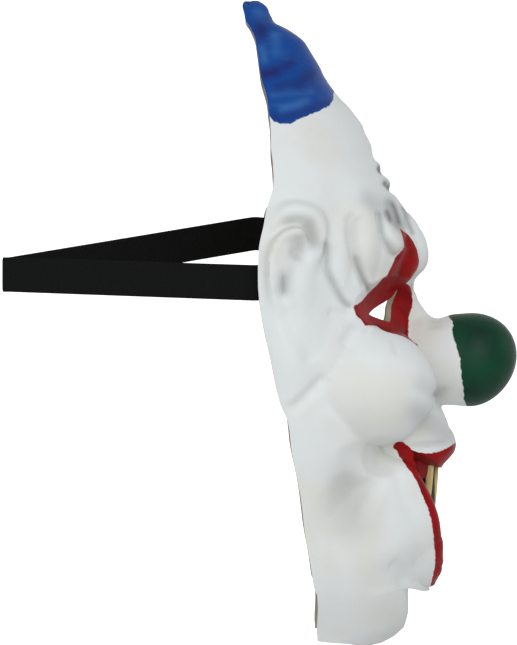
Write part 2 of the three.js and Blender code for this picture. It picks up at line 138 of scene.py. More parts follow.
def joined(x: float | Array, y: float | Array, z: float | Array) -> Array:
    """Puts coordinates together into points, each spread over the places of the others."""
    return np.stack(np.broadcast_arrays(x, y, z), axis=-1)


def cubic(t: Array, a: Array, b: Array, slope_a: Array, slope_b: Array) -> Array:
    """Cubic from a to b over t of 0 to 1, with those slopes at its ends."""
    line = (2 * t**3 - 3 * t**2 + 1) * a + (t**3 - 2 * t**2 + t) * slope_a
    return line + (3 * t**2 - 2 * t**3) * b + (t**3 - t**2) * slope_b


def bezier(t: Array, *corners: tuple[float, float]) -> Array:
    """Cubic over t of 0 to 1 from the first of four corners to the last, drawn towards the two between."""
    a, b, c, d = np.array(corners)
    return (1 - t) ** 3 * a + 3 * (1 - t) ** 2 * t * b + 3 * (1 - t) * t**2 * c + t**3 * d


def spread(count: int, low: float, high: float, weight: Callable[[Array], Array]) -> Array:
    """Spreads values over a span, closer together where the weight is higher.

    Args:
        count: Number of steps between the values.
        low: First value.
        high: Last value.
        weight: Density at each place of the span.

    Returns:
        count + 1 values: the running sum of the weight, cut into equal shares.
    """
    fine = np.linspace(low, high, 2001)
    share = np.concatenate([[0], np.cumsum(weight((fine[1:] + fine[:-1]) / 2))])
    return np.interp(np.linspace(0, share[-1], count + 1), share, fine)


def through(points: Points, steps: int = 6) -> Array:
    """Draws a smooth line through a few chosen points.

    Args:
        points: The chosen points.
        steps: Pieces between two of them.

    Returns:
        Points of a cubic whose slope at each chosen point is half the way between its neighbours.
    """
    p = np.array(points, dtype=float)
    slope = np.gradient(p, axis=0)
    t = np.linspace(0, 1, steps, endpoint=False)[:, None, None]
    line = cubic(t, p[:-1], p[1:], slope[:-1], slope[1:])
    return np.concatenate([line.transpose(1, 0, 2).reshape(-1, 2), p[-1:]])


def line_distance(u: Array, v: Array, line: Array) -> tuple[Array, Array]:
    """Measures how far points lie from a line of straight pieces.

    Args:
        u: First coordinate of the points.
        v: Second coordinate of the points.
        line: Corners of the line.

    Returns:
        The distance to the nearest piece, and how far along the line that is, from 0 to 1.
    """
    best = np.full(u.shape, np.inf)
    along = np.zeros(u.shape)
    pieces = len(line) - 1
    for i in range(pieces):
        (ax, ay), (bx, by) = line[i], line[i + 1]
        dx, dy = bx - ax, by - ay
        t = np.clip(((u - ax) * dx + (v - ay) * dy) / (dx * dx + dy * dy + 1e-12), 0, 1)
        distance = np.hypot(u - ax - t * dx, v - ay - t * dy)
        nearer = distance < best
        best = np.where(nearer, distance, best)
        along = np.where(nearer, (i + t) / pieces, along)
    return best, along


def inside_distance(u: Array, v: Array, outline: Array) -> Array:
    """Measures how deep points lie inside a closed outline.

    Args:
        u: First coordinate of the points.
        v: Second coordinate of the points.
        outline: Corners of the outline, without the first one again.

    Returns:
        Distance to the outline, above 0 inside it (an odd number of crossings on one side), else below 0.
    """
    closed = np.vstack([outline, outline[:1]])
    crossings = np.zeros(u.shape, dtype=int)
    for (ax, ay), (bx, by) in zip(closed[:-1], closed[1:]):
        if ay == by:
            continue
        spans = (ay > v) != (by > v)
        crossings += spans & (u < ax + (v - ay) * (bx - ax) / (by - ay))
    return line_distance(u, v, closed)[0] * np.where(crossings % 2 == 1, 1, -1)


def loft(rings: Array) -> tuple[Array, list[tuple[int, ...]]]:
    """Closes a stack of rings into a solid, with a fan over each end.

    Args:
        rings: Points as [ring, place round it, coordinate].

    Returns:
        Points and faces, facing outwards where the rings run anticlockwise seen from the last one.
    """
    rows, count, _ = rings.shape
    body = np.arange(rows * count).reshape(rows, count)
    turned = np.roll(body, -1, axis=1)
    quads = np.stack([body[:-1], turned[:-1], turned[1:], body[1:]], axis=-1).reshape(-1, 4)
    ends = np.array([rings[0].mean(axis=0), rings[-1].mean(axis=0)])
    first = np.stack([turned[0], body[0], np.full(count, rows * count)], axis=-1)
    last = np.stack([body[-1], turned[-1], np.full(count, rows * count + 1)], axis=-1)
    points = np.vstack([rings.reshape(-1, 3), ends])
    return points, quads.tolist() + first.tolist() + last.tolist()


def signed_volume(points: Array, faces: list[tuple[int, ...]]) -> float:
    """Six times the volume that the faces enclose, below 0 where they face inwards."""
    fans = np.array([(face[0], *face[k:k + 2]) for face in faces for k in range(1, len(face) - 1)])
    a, b, c = points[fans].transpose(1, 0, 2)
    return float(np.einsum("ij,ij->i", a, np.cross(b, c)).sum())


def make_solid(name: str, rings: Array, material: Material) -> Piece:
    """Puts a stack of rings, in millimetres, into a new object as a closed solid.

    Args:
        name: Name of the piece.
        rings: Points as [ring, place round it, coordinate].
        material: Its finish.

    Returns:
        The object, with its place in its mesh and its faces outwards.
    """
    points, faces = loft(rings)
    if signed_volume(points, faces) < 0:
        faces = [tuple(reversed(face)) for face in faces]
    mesh = bpy.data.meshes.new(name)
    mesh.from_pydata((points * MM).tolist(), [], faces)
    mesh.materials.append(material)
    mesh.update()
    mesh.validate()
    piece = bpy.data.objects.new(name, mesh)
    bpy.context.scene.collection.objects.link(piece)
    return piece


def combine(piece: Piece, other: Piece, cut: Cut) -> None:
    """Joins another solid to a piece or takes it away, and removes the other one.

    Args:
        piece: The piece that is changed.
        other: The solid that meets it. Faces cut by it take its finish.
        cut: What it does.
    """
    step = piece.modifiers.new("combine", "BOOLEAN")
    step.operation = cut.value
    step.solver = "MANIFOLD"
    step.material_mode = "TRANSFER"
    step.object = other
    bpy.context.view_layer.update()
    graph = bpy.context.evaluated_depsgraph_get()
    result = bpy.data.meshes.new_from_object(piece.evaluated_get(graph))
    piece.modifiers.clear()
    old = piece.data
    piece.data = result
    bpy.data.meshes.remove(old)
    bpy.data.objects.remove(other)


def shade_smooth(piece: Piece, crease: float) -> None:
    """Shades a piece smooth, but for edges that bend more than the crease angle, in degrees."""
    piece.data.shade_smooth()
    piece.data.set_sharp_from_angle(angle=math.radians(crease))


def get_points(mesh: Mesh) -> Array:
    """The mesh's points in millimetres, one row each."""
    flat = np.empty(3 * len(mesh.vertices), dtype=np.float32)
    mesh.vertices.foreach_get("co", flat)
    return flat.reshape(-1, 3).astype(float) / MM


def store(mesh: Mesh, name: str, values: Array) -> None:
    """Keeps one number for each point of the mesh under a name that its finish reads."""
    layer = mesh.attributes.new(name, "FLOAT", "POINT")
    layer.data.foreach_set("value", values.astype(np.float32))


def seen_from_side(points: Array) -> tuple[Array, Array, Array]:
    """Finds where the side camera sees points in the mid-plane.

    Args:
        points: Points as [..., coordinate].

    Returns:
        Distance from the mid-plane, then the way back and the height at which the line of sight through the
        point, from a camera VIEW_DISTANCE away over VIEW_MIDDLE on the point's own side, meets the mid-plane.
    """
    side = np.abs(points[..., 0])
    scale = VIEW_DISTANCE / (VIEW_DISTANCE - side)
    back = VIEW_MIDDLE[0] + (points[..., 1] - VIEW_MIDDLE[0]) * scale
    up = VIEW_MIDDLE[1] + (points[..., 2] - VIEW_MIDDLE[1]) * scale
    return side, back, up


class Nodes:
    """A node tree, with short ways to add nodes and join them."""

    def __init__(self, tree: bpy.types.NodeTree) -> None:
        """Works on that tree."""
        self.tree = tree

    def node(self, kind: str, inputs: dict | None = None, **settings: object) -> bpy.types.Node:
        """Adds a node of that kind, gives it the settings and joins the values to its inputs."""
        made = self.tree.nodes.new(kind)
        for key, value in settings.items():
            setattr(made, key, value)
        for key, value in (inputs or {}).items():
            self.join(value, made.inputs[key])
        return made

    def join(self, source: object, into: Socket) -> None:
        """Links a socket into another, or sets the other to a number or colour."""
        if isinstance(source, Socket):
            self.tree.links.new(source, into)
        else:
            into.default_value = source

    def math(self, operation: str, *values: object, clamp: bool = False) -> Socket:
        """Adds a Math node on the values and returns its result."""
        inputs = dict(enumerate(values))
        return self.node("ShaderNodeMath", inputs, operation=operation, use_clamp=clamp).outputs[0]


class Board(Nodes):
    """A finish's node tree, with its main shader."""

    def __init__(self, name: str) -> None:
        """Starts an empty material of that name."""
        self.material = bpy.data.materials.new(name)
        self.material.use_nodes = True
        super().__init__(self.material.node_tree)
        self.tree.nodes.clear()
        self.shader = self.node("ShaderNodeBsdfPrincipled")
        self.node("ShaderNodeOutputMaterial", {"Surface": self.shader.outputs[0]})
        self.place = self.node("ShaderNodeTexCoord").outputs["Object"]

    def mix(self, share: object, low: object, high: object) -> Socket:
        """Mixes two colours by a share and returns the result."""
        return self.node("ShaderNodeMix", {0: share, 6: low, 7: high}, data_type="RGBA").outputs[2]

    def noise(
        self, scale: float, detail: float = 3.0, rough: float = 0.5, stretch: tuple = (1, 1, 1)
    ) -> Socket:
        """Adds noise on the object's own coordinates, so many to the metre, and returns it from 0 to 1."""
        where = self.node("ShaderNodeMapping", {"Vector": self.place, "Scale": stretch}).outputs[0]
        inputs = {"Vector": where, "Scale": scale, "Detail": detail, "Roughness": rough}
        return self.node("ShaderNodeTexNoise", inputs).outputs["Fac"]

    def span(self, value: object, low: float, high: float, first: float = 0.0, last: float = 1.0) -> Socket:
        """Turns low to high into first to last, smoothly and within them."""
        inputs = {"Value": value, "From Min": low, "From Max": high, "To Min": first, "To Max": last}
        return self.node("ShaderNodeMapRange", inputs, interpolation_type="SMOOTHSTEP").outputs[0]

    def attribute(self, name: str) -> Socket:
        """Reads a number that the mesh keeps under that name."""
        return self.node("ShaderNodeAttribute", attribute_name=name).outputs["Fac"]

    def surface(self, colour: Socket, rough: object, shine: object = 0.5) -> None:
        """Gives the shader its colour, its roughness and its specular level."""
        for key, value in (("Base Color", colour), ("Roughness", rough), ("Specular IOR Level", shine)):
            self.join(value, self.shader.inputs[key])

    def bump(self, *layers: tuple[object, float]) -> None:
        """Adds bumps to the shader: pairs of a height of 0 to 1 and its depth in millimetres."""
        inputs = {"Strength": 1.0}
        for height, depth in layers:
            inputs |= {"Distance": depth * MM, "Height": height}
            inputs["Normal"] = self.node("ShaderNodeBump", inputs).outputs[0]
        self.join(inputs["Normal"], self.shader.inputs["Normal"])


@dataclass(frozen=True)
class PaintedLatex:
    """White latex with airbrushed and brushed paint, whose borders the shell keeps as distances, and with
    painted shade and painted highlights.
    """

    white: Colour = linear(228, 233, 234)
    warm: Colour = linear(224, 226, 221)
    red: Colour = linear(152, 8, 13)
    red_dark: Colour = linear(100, 8, 11)
    blue: Colour = linear(16, 71, 150)
    # Pale blue of the hair's random streaks and of its painted highlights
    blue_streak_and_highlight: Colour = linear(58, 108, 174)
    # Purple of the hair's airbrush and of its painted shade between the locks
    purple: Colour = linear(32, 34, 98)
    green: Colour = linear(4, 63, 42)
    green_dark: Colour = linear(3, 45, 31)
    # Dark grey of the furrows' dark paint and of the painted shade in other creases
    grey: Colour = linear(52, 53, 54)
    # Mid grey of the painted shade on the skin and of the frown's airbrush
    shade: Colour = linear(150, 152, 150)

    def build(self) -> Material:
        """Paints the latex: white ground with painted shade, then blue hair with painted highlights and
        painted shade, green nose, red eyes and lips, and dark furrows of dark paint and painted shade.
        """
        board = Board("painted_latex")
        ground = board.mix(board.span(board.noise(22), 0.42, 0.68), self.white, self.warm)
        # Painted shade: mid grey in the ear's hollows, under the nose, on the muzzle, in the jaw's hollow and
        # towards the neck; at the frown, grey airbrush with painted shade
        ground = board.mix(board.attribute("shade"), ground, self.shade)
        # Dark paint in the furrows and painted shade in the other creases, broken by a fine grain
        grain = board.span(board.noise(260, 2), 0.3, 0.6, 0.85, 1.0)
        ground = board.mix(board.math("MULTIPLY", board.attribute("dark_paint_and_shade"), grain), ground, self.grey)
        # Hair: random pale streaks and painted highlights on the locks, then purple airbrush with painted
        # shade between them
        streaky = board.span(board.noise(60, 4, 0.6, (1, 1, 2.2)), 0.5, 0.8, 0.0, 0.35)
        pale = board.math("ADD", streaky, board.attribute("pale"), clamp=True)
        hair = board.mix(board.attribute("purple_and_painted_shade"), board.mix(pale, self.blue, self.blue_streak_and_highlight), self.purple)
        nose = board.mix(board.span(board.noise(45), 0.4, 0.75), self.green, self.green_dark)
        red = board.mix(board.span(board.noise(70, 4, 0.6), 0.38, 0.8, 0.0, 0.75), self.red, self.red_dark)
        wobble = board.math("MULTIPLY", board.math("SUBTRACT", board.noise(420), 0.5), 1.6)
        colour = ground
        painted = 0.0
        cover = {}
        for name, paint in (("blue", hair), ("green", nose), ("red", red)):
            cover[name] = board.span(board.math("ADD", board.attribute(name), wobble), -0.35, 0.35)
            colour = board.mix(cover[name], colour, paint)
            painted = board.math("MAXIMUM", painted, cover[name])
        shine = board.span(cover["green"], 0, 1, 0.12, 0.2)
        board.surface(colour, board.span(painted, 0, 1, 0.6, 0.42), shine)
        board.bump((board.noise(130), 0.35), (board.noise(1500, 2), 0.06))
        return board.material


@dataclass(frozen=True)
class RawLatex:
    """Unpainted latex of the inside and of cut edges: beige, brush-marked and a little uneven."""

    beige: Colour = linear(184, 177, 160)
    stain: Colour = linear(150, 141, 122)

    def build(self) -> Material:
        """Mixes beige and stains by noise, with the rough skin of poured latex."""
        board = Board("raw_latex")
        board.surface(board.mix(board.span(board.noise(35, 4), 0.35, 0.75), self.beige, self.stain), 0.72)
        board.bump((board.noise(160, 4), 0.5), (board.noise(900), 0.12))
        return board.material


@dataclass(frozen=True)
class MouthPaint:
    """Paint inside the mouth: dark red under the upper lip, near black behind the teeth."""

    black: Colour = linear(20, 14, 14)
    brown: Colour = linear(48, 20, 18)
    lip: Colour = linear(132, 22, 22)
    change: tuple[float, float] = (-0.1215, -0.1165)

    def build(self) -> Material:
        """Mixes black and dark red-brown by noise, then the lip's red by height."""
        board = Board("mouth_paint")
        up = board.node("ShaderNodeSeparateXYZ", {0: board.place}).outputs[2]
        deep = board.mix(board.span(board.noise(90), 0.45, 0.75), self.black, self.brown)
        board.surface(board.mix(board.span(up, *self.change), deep, self.lip), 0.5, 0.15)
        board.bump((board.noise(300), 0.2))
        return board.material


@dataclass(frozen=True)
class ToothPaint:
    """Yellowed tooth paint that greys towards the edges and the gum: a painted outline at the lower edge and
    painted shade of the gap at the rear.
    """

    ivory: Colour = linear(206, 190, 134)
    yellow: Colour = linear(176, 150, 84)
    grey: Colour = linear(74, 72, 66)

    def build(self) -> Material:
        """Mixes ivory and yellow by long noise, then grey by the tooth's own edge value: its painted outline
        and painted shade.
        """
        board = Board("tooth_paint")
        upright = (1, 1, 0.3)
        body = board.mix(board.span(board.noise(160, 3, 0.5, upright), 0.4, 0.7), self.ivory, self.yellow)
        # Painted outline at the lower edge and painted shade at the rear, with a fine noise
        rim = board.math("ADD", board.attribute("rim"), board.math("MULTIPLY", board.noise(600), 0.25))
        board.surface(board.mix(board.span(rim, 0.62, 1.1), body, self.grey), 0.38, 0.2)
        board.bump((board.noise(500, 3, 0.5, upright), 0.15))
        return board.material


@dataclass(frozen=True)
class WovenElastic:
    """Black woven elastic: fine ribs along the strap and a weft across them."""

    black: Colour = linear(10, 11, 11)
    thread: Colour = linear(34, 36, 35)
    ribs: float = 15.0
    picks: float = 1.35
    weft_shift: float = 1.57

    def build(self) -> Material:
        """Reads the strap's own map, u in widths across and v in millimetres along, as a checked weave."""
        board = Board("woven_elastic")
        places = board.node("ShaderNodeUVMap", uv_map="weave").outputs[0]
        weave = board.node("ShaderNodeSeparateXYZ", {0: places}).outputs
        rib = board.math("COSINE", board.math("MULTIPLY", weave[0], 2 * math.pi * self.ribs))
        along = board.math("MULTIPLY", weave[1], 2 * math.pi * self.picks)
        shift = board.math("MULTIPLY", board.math("SIGN", rib), self.weft_shift)
        pick = board.math("SINE", board.math("ADD", along, shift))
        thread = board.math("MULTIPLY_ADD", board.math("MULTIPLY", rib, pick), 0.5, 0.5)
        lint = board.span(board.noise(1400, 2), 0.55, 0.8, 0.0, 0.6)
        tone = board.math("MULTIPLY", board.math("ADD", thread, lint), 0.5)
        board.surface(board.mix(tone, self.black, self.thread), 0.85, 0.12)
        board.bump((thread, 0.16), (board.math("ABSOLUTE", rib), 0.12))
        return board.material


@dataclass(frozen=True)
class StudioWhite:
    """Pale matt floor of the studio."""

    pale: Colour = linear(246, 246, 246)
    mottle: Colour = linear(241, 241, 241)

    def build(self) -> Material:
        """A pale ground with a barely visible mottle."""
        board = Board("studio_white")
        board.surface(board.mix(board.noise(3, 2), self.pale, self.mottle), 0.9)
        return board.material


@dataclass(frozen=True)
class Lump:
    """A rounded swelling, or with a height below 0 a hollow, on an ellipse of a flat view.

    The view's first axis is the distance from the mid-plane seen from the front, and the way back seen from
    the side. Its height is tall * (1 - u^2 - v^2)^round, where u and v run to 1 at the ellipse's rim.
    """

    at: tuple[float, float]
    size: tuple[float, float]
    tall: float
    round: float = 1.0
    lean: float = 0.0
    beyond: float = 0.0

    def height(self, u: Array, z: Array) -> Array:
        """Height of the lump over points of its view."""
        lean = math.radians(self.lean)
        du, dz = u - self.at[0], z - self.at[1]
        a = (du * math.cos(lean) + dz * math.sin(lean)) / self.size[0]
        b = (dz * math.cos(lean) - du * math.sin(lean)) / self.size[1]
        return self.tall * np.maximum(1 - a * a - b * b, 0) ** self.round


@dataclass(frozen=True)
class Crease:
    """A rounded ridge, or with a height below 0 a groove, along a line of a flat view.

    Its height is tall * (1 - t^2)^2, where t runs to 1 at half its width from the line, and it fades out over
    the last part of the line at both ends.
    """

    line: Points
    tall: float
    width: float
    # Strength of the dark laid along the line: dark paint in the furrows, painted shade in other creases
    dark_paint_and_shade: float = 0.0
    beyond: float = 0.0
    fade: float = 0.18

    def near(self, u: Array, z: Array) -> tuple[Array, Array]:
        """Distance of points from the line, and how much is left beside them after the fading at its ends."""
        distance, along = line_distance(u, z, through(self.line))
        return distance, smooth_step(0, self.fade, along) * smooth_step(0, self.fade, 1 - along)

    def height(self, u: Array, z: Array) -> Array:
        """Height of the crease over points of its view."""
        distance, left = self.near(u, z)
        t = np.minimum(distance / self.width, 1)
        return self.tall * (1 - t * t) ** 2 * (0.15 + 0.85 * left)

    def trace(self, u: Array, z: Array) -> Array:
        """Share of dark paint and painted shade over points of its view, falling off beside the line as a
        bell.
        """
        distance, left = self.near(u, z)
        return self.dark_paint_and_shade * left * bell(distance, 0, 0.5 + 0.3 * self.width)


@dataclass
class Face:
    """The moulded face as a surface of two parameters: the turn of an arch and the height.

    A level section is an arch from one side edge over the front to the other, and lumps push it outwards. The
    nose's grid leaves the face inside an ellipse and runs over a stalk and a round end. All lengths are in
    millimetres.
    """

    crown_rise: float = 130.0
    chin_drop: float = 204.0
    face_depth: float = 78.0
    half_width: float = 90.0
    relief: float = 25.0
    wall: float = 2.4
    nose_drop: float = 57.2
    nose_radius: float = 24.4
    nose_root: tuple[float, float] = (18.5, 23.0)
    nose_reach: float = 49.6
    nose_share: float = 0.63
    lump_blend: float = 3.0
    mouth_half: float = 33.0
    mouth_line: float = 103.0
    mouth_drop: float = 63.0
    sections: Array = field(default_factory=lambda: np.array(SECTIONS, dtype=float))

    def __post_init__(self) -> None:
        """Works out how far each row of the two profiles lies from the plain arch and its lumps."""
        self.front_gap = np.zeros(len(FRONT_PROFILE))
        self.rim_gap = np.zeros(len(RIM_PROFILE))
        front_z, front_y = np.array(FRONT_PROFILE).T
        rim_z, rim_y = np.array(RIM_PROFILE).T
        rim_y = rim_y + (VIEW_MIDDLE[0] - rim_y) * self.rim_at(rim_z) / VIEW_DISTANCE
        for _ in range(3):
            self.front_gap = self.front_gap + front_y - self.foremost(0 * front_z, 8.0, front_z)
            self.rim_gap = self.rim_gap + rim_y - self.foremost(self.rim_at(rim_z), 8.0, rim_z)

    def foremost(self, start: Array, reach: float, z: Array) -> Array:
        """Foremost way back of each row between a distance from the mid-plane and a little farther out."""
        rows = [self.point(self.turn_at(start + share * reach, z), z)[:, 1] for share in np.linspace(0, 1, 7)]
        return np.min(rows, axis=0)

    def lower_curve(self) -> Array:
        """Lower half of the mouth's outline, from its corner down to the middle, as points (across, up)."""
        half, corner, bottom = self.mouth_half, -self.mouth_line, -self.mouth_line - self.mouth_drop
        handles = (half, corner - SWEEP_DOWN * self.mouth_drop), (SWEEP_ACROSS * half, bottom)
        return bezier(np.linspace(0, 1, 24)[:, None], (half, corner), *handles, (0, bottom))

    def rim_at(self, z: Array) -> Array:
        """Distance of the mouth's rim from the mid-plane at each height, 0 below the mouth."""
        across, up = self.lower_curve()[::-1].T
        return np.interp(z, up, across)

    def profile_shift(self, x: Array, z: Array) -> Array:
        """How far back the face is moved so that its side view runs through the two profiles.

        Each profile's gap counts fully on its own line (the mid-plane, the mouth's rim) and falls off beside
        it as a bell.
        """
        side = np.abs(x)
        front = np.interp(-z, -np.array(FRONT_PROFILE)[:, 0], self.front_gap) * smooth_step(*FRONT_FROM, z)
        rim = np.interp(-z, -np.array(RIM_PROFILE)[:, 0], self.rim_gap) * smooth_step(*RIM_FROM, z)
        rim = rim * np.maximum(smooth_step(*RIM_BESIDE, side), smooth_step(*RIM_BELOW, z))
        beside = np.maximum(side - self.rim_at(z), 0)
        front = front * bell(x, 0, table_value(z, FRONT_WIDTH))
        return front + rim * bell(beside, 0, table_value(z, RIM_WIDTH))

    def height_of(self, up: float | Array) -> Array:
        """Height of a share of the rise above the brow seat, or of the drop below it."""
        return np.where(up >= 0, up * self.crown_rise, up * self.chin_drop)

    def section(self, z: Array) -> Array:
        """Looks up the level section at each height.

        Args:
            z: Heights.

        Returns:
            Front, rear, half width and fullness there: cubics whose slopes follow the neighbouring rows.
        """
        rows = self.sections[::-1]
        heights, values = self.height_of(rows[:, 0]), rows[:, 1:]
        last = len(rows) - 1
        below, above = np.maximum(np.arange(last + 1) - 1, 0), np.minimum(np.arange(last + 1) + 1, last)
        slopes = (values[above] - values[below]) / (heights[above] - heights[below])[:, None]
        i = np.clip(np.searchsorted(heights, z) - 1, 0, last - 1)
        step = (heights[i + 1] - heights[i])[..., None]
        t = np.clip((z - heights[i])[..., None] / step, 0, 1)
        found = cubic(t, values[i], values[i + 1], step * slopes[i], step * slopes[i + 1])
        return np.moveaxis(found, -1, 0)

    def arch(self, turn: Array, z: Array) -> tuple[Array, Array]:
        """Plain section point: x = half * |sin|^(2/full), ahead = rear + (front - rear) * cos^(2/full)."""
        front, rear, half, full = self.section(z)
        x = rounded(np.sin(turn), 2 / full) * half * self.half_width
        return x, rear + (front - rear) * np.maximum(np.cos(turn), 0) ** (2 / full)

    def main_relief(self, x: Array, ahead: Array, z: Array) -> Array:
        """Height of the main lumps: swellings blended by a power mean, less the hollows."""
        raised = np.zeros(x.shape)
        sunk = np.zeros(x.shape)
        views = (
            (FRONT_LUMPS, self.half_width, np.abs(x)),
            (SIDE_LUMPS, self.face_depth, ahead * self.face_depth),
        )
        for lumps, unit, place in views:
            for at, up, wide, high, tall, power in lumps:
                size = (wide * unit, high * self.chin_drop)
                lump = Lump((at * unit, self.height_of(up)), size, tall * self.relief, power)
                level = lump.height(place, z)
                raised += np.maximum(level, 0) ** self.lump_blend
                sunk += np.minimum(level, 0)
        lip = Crease([(a * self.half_width, self.height_of(u)) for a, u in LOWER_LIP], *LOWER_LIP_SIZE)
        return raised ** (1 / self.lump_blend) + sunk + lip.height(np.abs(x), z)

    def plan(self, x: Array, ahead: Array) -> Array:
        """Level point (x, way back) of a section point."""
        return np.stack([x, self.face_depth * (1 - ahead)], axis=-1)

    def point(self, turn: Array, z: Array, inset: float = 0.0) -> Array:
        """Point of the face without its nose.

        Args:
            turn: Turn of the arch, from -90 to 90 degrees, in radians.
            z: Height.
            inset: How far inside the outer face the point is kept.

        Returns:
            Points as [..., coordinate]: the arch pushed level, along the turn, by the relief. Below the
            chin's edge they are kept behind the neck's line by the mean of x and sqrt(x^2 + soft).
        """
        x, ahead = self.arch(turn, z)
        out = np.stack([np.sin(turn), -np.cos(turn)], axis=-1)
        height = self.main_relief(x, ahead, z) if inset <= 0 else self.inset_height(turn, z, inset)
        level = self.plan(x, ahead) + height[..., None] * out
        level[..., 1] += self.profile_shift(level[..., 0], z)
        neck = table_value(z, NECK_PROFILE) + level[..., 0] ** 2 / NECK_BEND
        over = level[..., 1] - neck
        pushed = neck + (over + np.sqrt(over**2 + NECK_SOFT)) / 2
        level[..., 1] += (pushed - level[..., 1]) * smooth_step(*NECK_FROM, z)
        return np.concatenate([level, z[..., None]], axis=-1)

    def inset_height(self, turn: Array, z: Array, inset: float) -> Array:
        """Lowest level of the outer face round each point, a wall's thickness away.

        It is probed at the point itself and on two rings round it, given in insets as (reach, how far back).
        """
        here = self.plan(*self.arch(turn, z))
        out = np.stack([np.sin(turn), -np.cos(turn)], axis=-1)
        step = inset / (0.7 * self.half_width)
        levels = []
        for reach, back, count in ((0.0, 1.0, 1), (0.7, 0.7, 8), (1.9, 0.0, 8)):
            for angle in full_turn(count):
                near = np.clip(turn + reach * math.cos(angle) * step, -math.pi / 2, math.pi / 2)
                at = self.point(near, z + reach * math.sin(angle) * inset)[..., :2]
                at[..., 1] -= self.profile_shift(at[..., 0], z)
                levels.append(np.einsum("...i,...i->...", at - here, out) - back * inset)
        return np.min(levels, axis=0)

    def turn_at(self, x: Array, z: Array) -> Array:
        """Turn of the arch at that distance from the mid-plane."""
        _, _, half, full = self.section(z)
        share = np.clip(np.abs(x) / (half * self.half_width), 0, 1)
        return np.sign(x) * np.arcsin(share ** (full / 2))

    def nose_share_at(self, turn: Array, z: Array) -> tuple[Array, Array, Array]:
        """How far a grid point lies from the nose's middle, 1 at its root, and in which direction."""
        x, _ = self.arch(turn, z)
        u, v = x / self.nose_root[0], (z + self.nose_drop) / self.nose_root[1]
        q = np.hypot(u, v)
        safe = np.maximum(q, 1e-9)
        return q, np.where(q > 1e-6, u / safe, 0), np.where(q > 1e-6, v / safe, 1)

    def with_nose(self, turn: Array, z: Array) -> Array:
        """Point of the whole front, with the nose's stalk and round end."""
        q, du, dv = self.nose_share_at(turn, z)
        angle = np.minimum(q / self.nose_share, 1) * math.pi / 2
        way = joined(np.sin(angle) * du, -np.cos(angle), np.sin(angle) * dv)
        radius = self.nose_radius
        for direction, tall in NOSE_FORMS:
            radius = radius + tall * np.maximum(way @ np.array(direction), 0) ** 5
        ball = way * radius[..., None] + np.array([0, self.nose_radius - self.nose_reach, -self.nose_drop])
        root_z = self.nose_root[1] * dv - self.nose_drop
        root = self.point(self.turn_at(self.nose_root[0] * du, root_z), root_z)
        s = np.clip((q - self.nose_share) / (1 - self.nose_share), 0, 1)[..., None]
        inside = np.where((q < self.nose_share)[..., None], ball, ball * (1 - s) + root * s)
        return np.where((q < 1)[..., None], inside, self.point(turn, z))


# Level sections as (share of rise or drop, front, rear, half width, fullness)
SECTIONS = (
    (0.996, -0.093, -0.187, 0.04, 2.0), (0.976, -0.027, -0.187, 0.09, 2.0), (0.944, 0.0, -0.173, 0.13, 2.0),
    (0.904, 0.06, -0.153, 0.18, 2.0), (0.856, 0.173, -0.12, 0.23, 2.0), (0.784, 0.27, -0.093, 0.31, 2.0),
    (0.688, 0.375, -0.067, 0.4, 2.0), (0.604, 0.46, -0.033, 0.48, 2.0), (0.544, 0.548, -0.02, 0.55, 2.0),
    (0.472, 0.615, -0.007, 0.63, 2.0), (0.4, 0.69, 0.0, 0.7, 2.0), (0.304, 0.77, 0.013, 0.78, 2.05),
    (0.232, 0.825, 0.01, 0.83, 2.1), (0.16, 0.87, -0.027, 0.87, 2.1), (0.088, 0.9, -0.049, 0.9, 2.15),
    (0.0, 0.913, -0.08, 0.92, 2.2), (-0.066, 0.9, -0.087, 0.92, 2.2), (-0.127, 0.893, -0.08, 0.91, 2.2),
    (-0.204, 0.88, -0.047, 0.9, 2.2), (-0.28, 0.88, 0.0, 0.89, 2.2), (-0.382, 0.887, 0.053, 0.87, 2.2),
    (-0.433, 0.887, 0.107, 0.85, 2.2), (-0.509, 0.893, 0.133, 0.8, 2.2), (-0.611, 0.907, 0.187, 0.73, 2.2),
    (-0.712, 0.92, 0.22, 0.67, 2.2), (-0.814, 0.92, 0.265, 0.63, 2.2), (-0.891, 0.913, 0.272, 0.6, 2.2),
    (-0.952, 0.887, 0.277, 0.57, 2.2), (-0.977, 0.833, 0.285, 0.55, 2.2), (-1.0, 0.74, 0.298, 0.53, 2.2),
)

# Main lumps in shares, as (across or back, up, wide or long, high, tall, roundness)
FRONT_LUMPS = (
    (0, 0.0, 0.15, 0.1, 0.38, 0.9), (0, -0.14, 0.13, 0.09, 0.34, 1.0),
    (0.22, -0.02, 0.15, 0.085, 0.22, 1.0), (0.52, 0.05, 0.28, 0.11, 0.2, 1.2),
    (0.4, -0.14, 0.34, 0.075, -0.42, 1.0), (0.5, -0.345, 0.33, 0.155, 1.0, 0.9),
    (0.24, -0.36, 0.11, 0.05, 0.25, 1.0), (0, -0.49, 0.4, 0.125, 1.08, 0.8),
    (0, -0.67, 0.68, 0.195, 0.6, 1.0), (0, -0.775, 0.27, 0.085, 0.6, 0.5), (0, -0.91, 0.4, 0.05, 0.05, 1.0),
)

SIDE_LUMPS = (
    (0.1, -0.07, 0.32, 0.28, 0.27, 1.7), (0.45, 0.14, 0.16, 0.1, -0.1, 1.5),
    (0.56, -0.67, 0.3, 0.13, -0.2, 1.5), (0.66, -0.52, 0.24, 0.05, -0.16, 1.2),
)

# The lower lip's line in shares, and its height and half width in millimetres
LOWER_LIP = ((0.38, -0.51), (0.38, -0.57), (0.32, -0.66), (0.17, -0.78), (0, -0.82))
LOWER_LIP_SIZE = (5.0, 8.8)
# Handles of the mouth's lower sweep, as shares of its drop and of its half width
SWEEP_DOWN = 0.6
SWEEP_ACROSS = 0.45

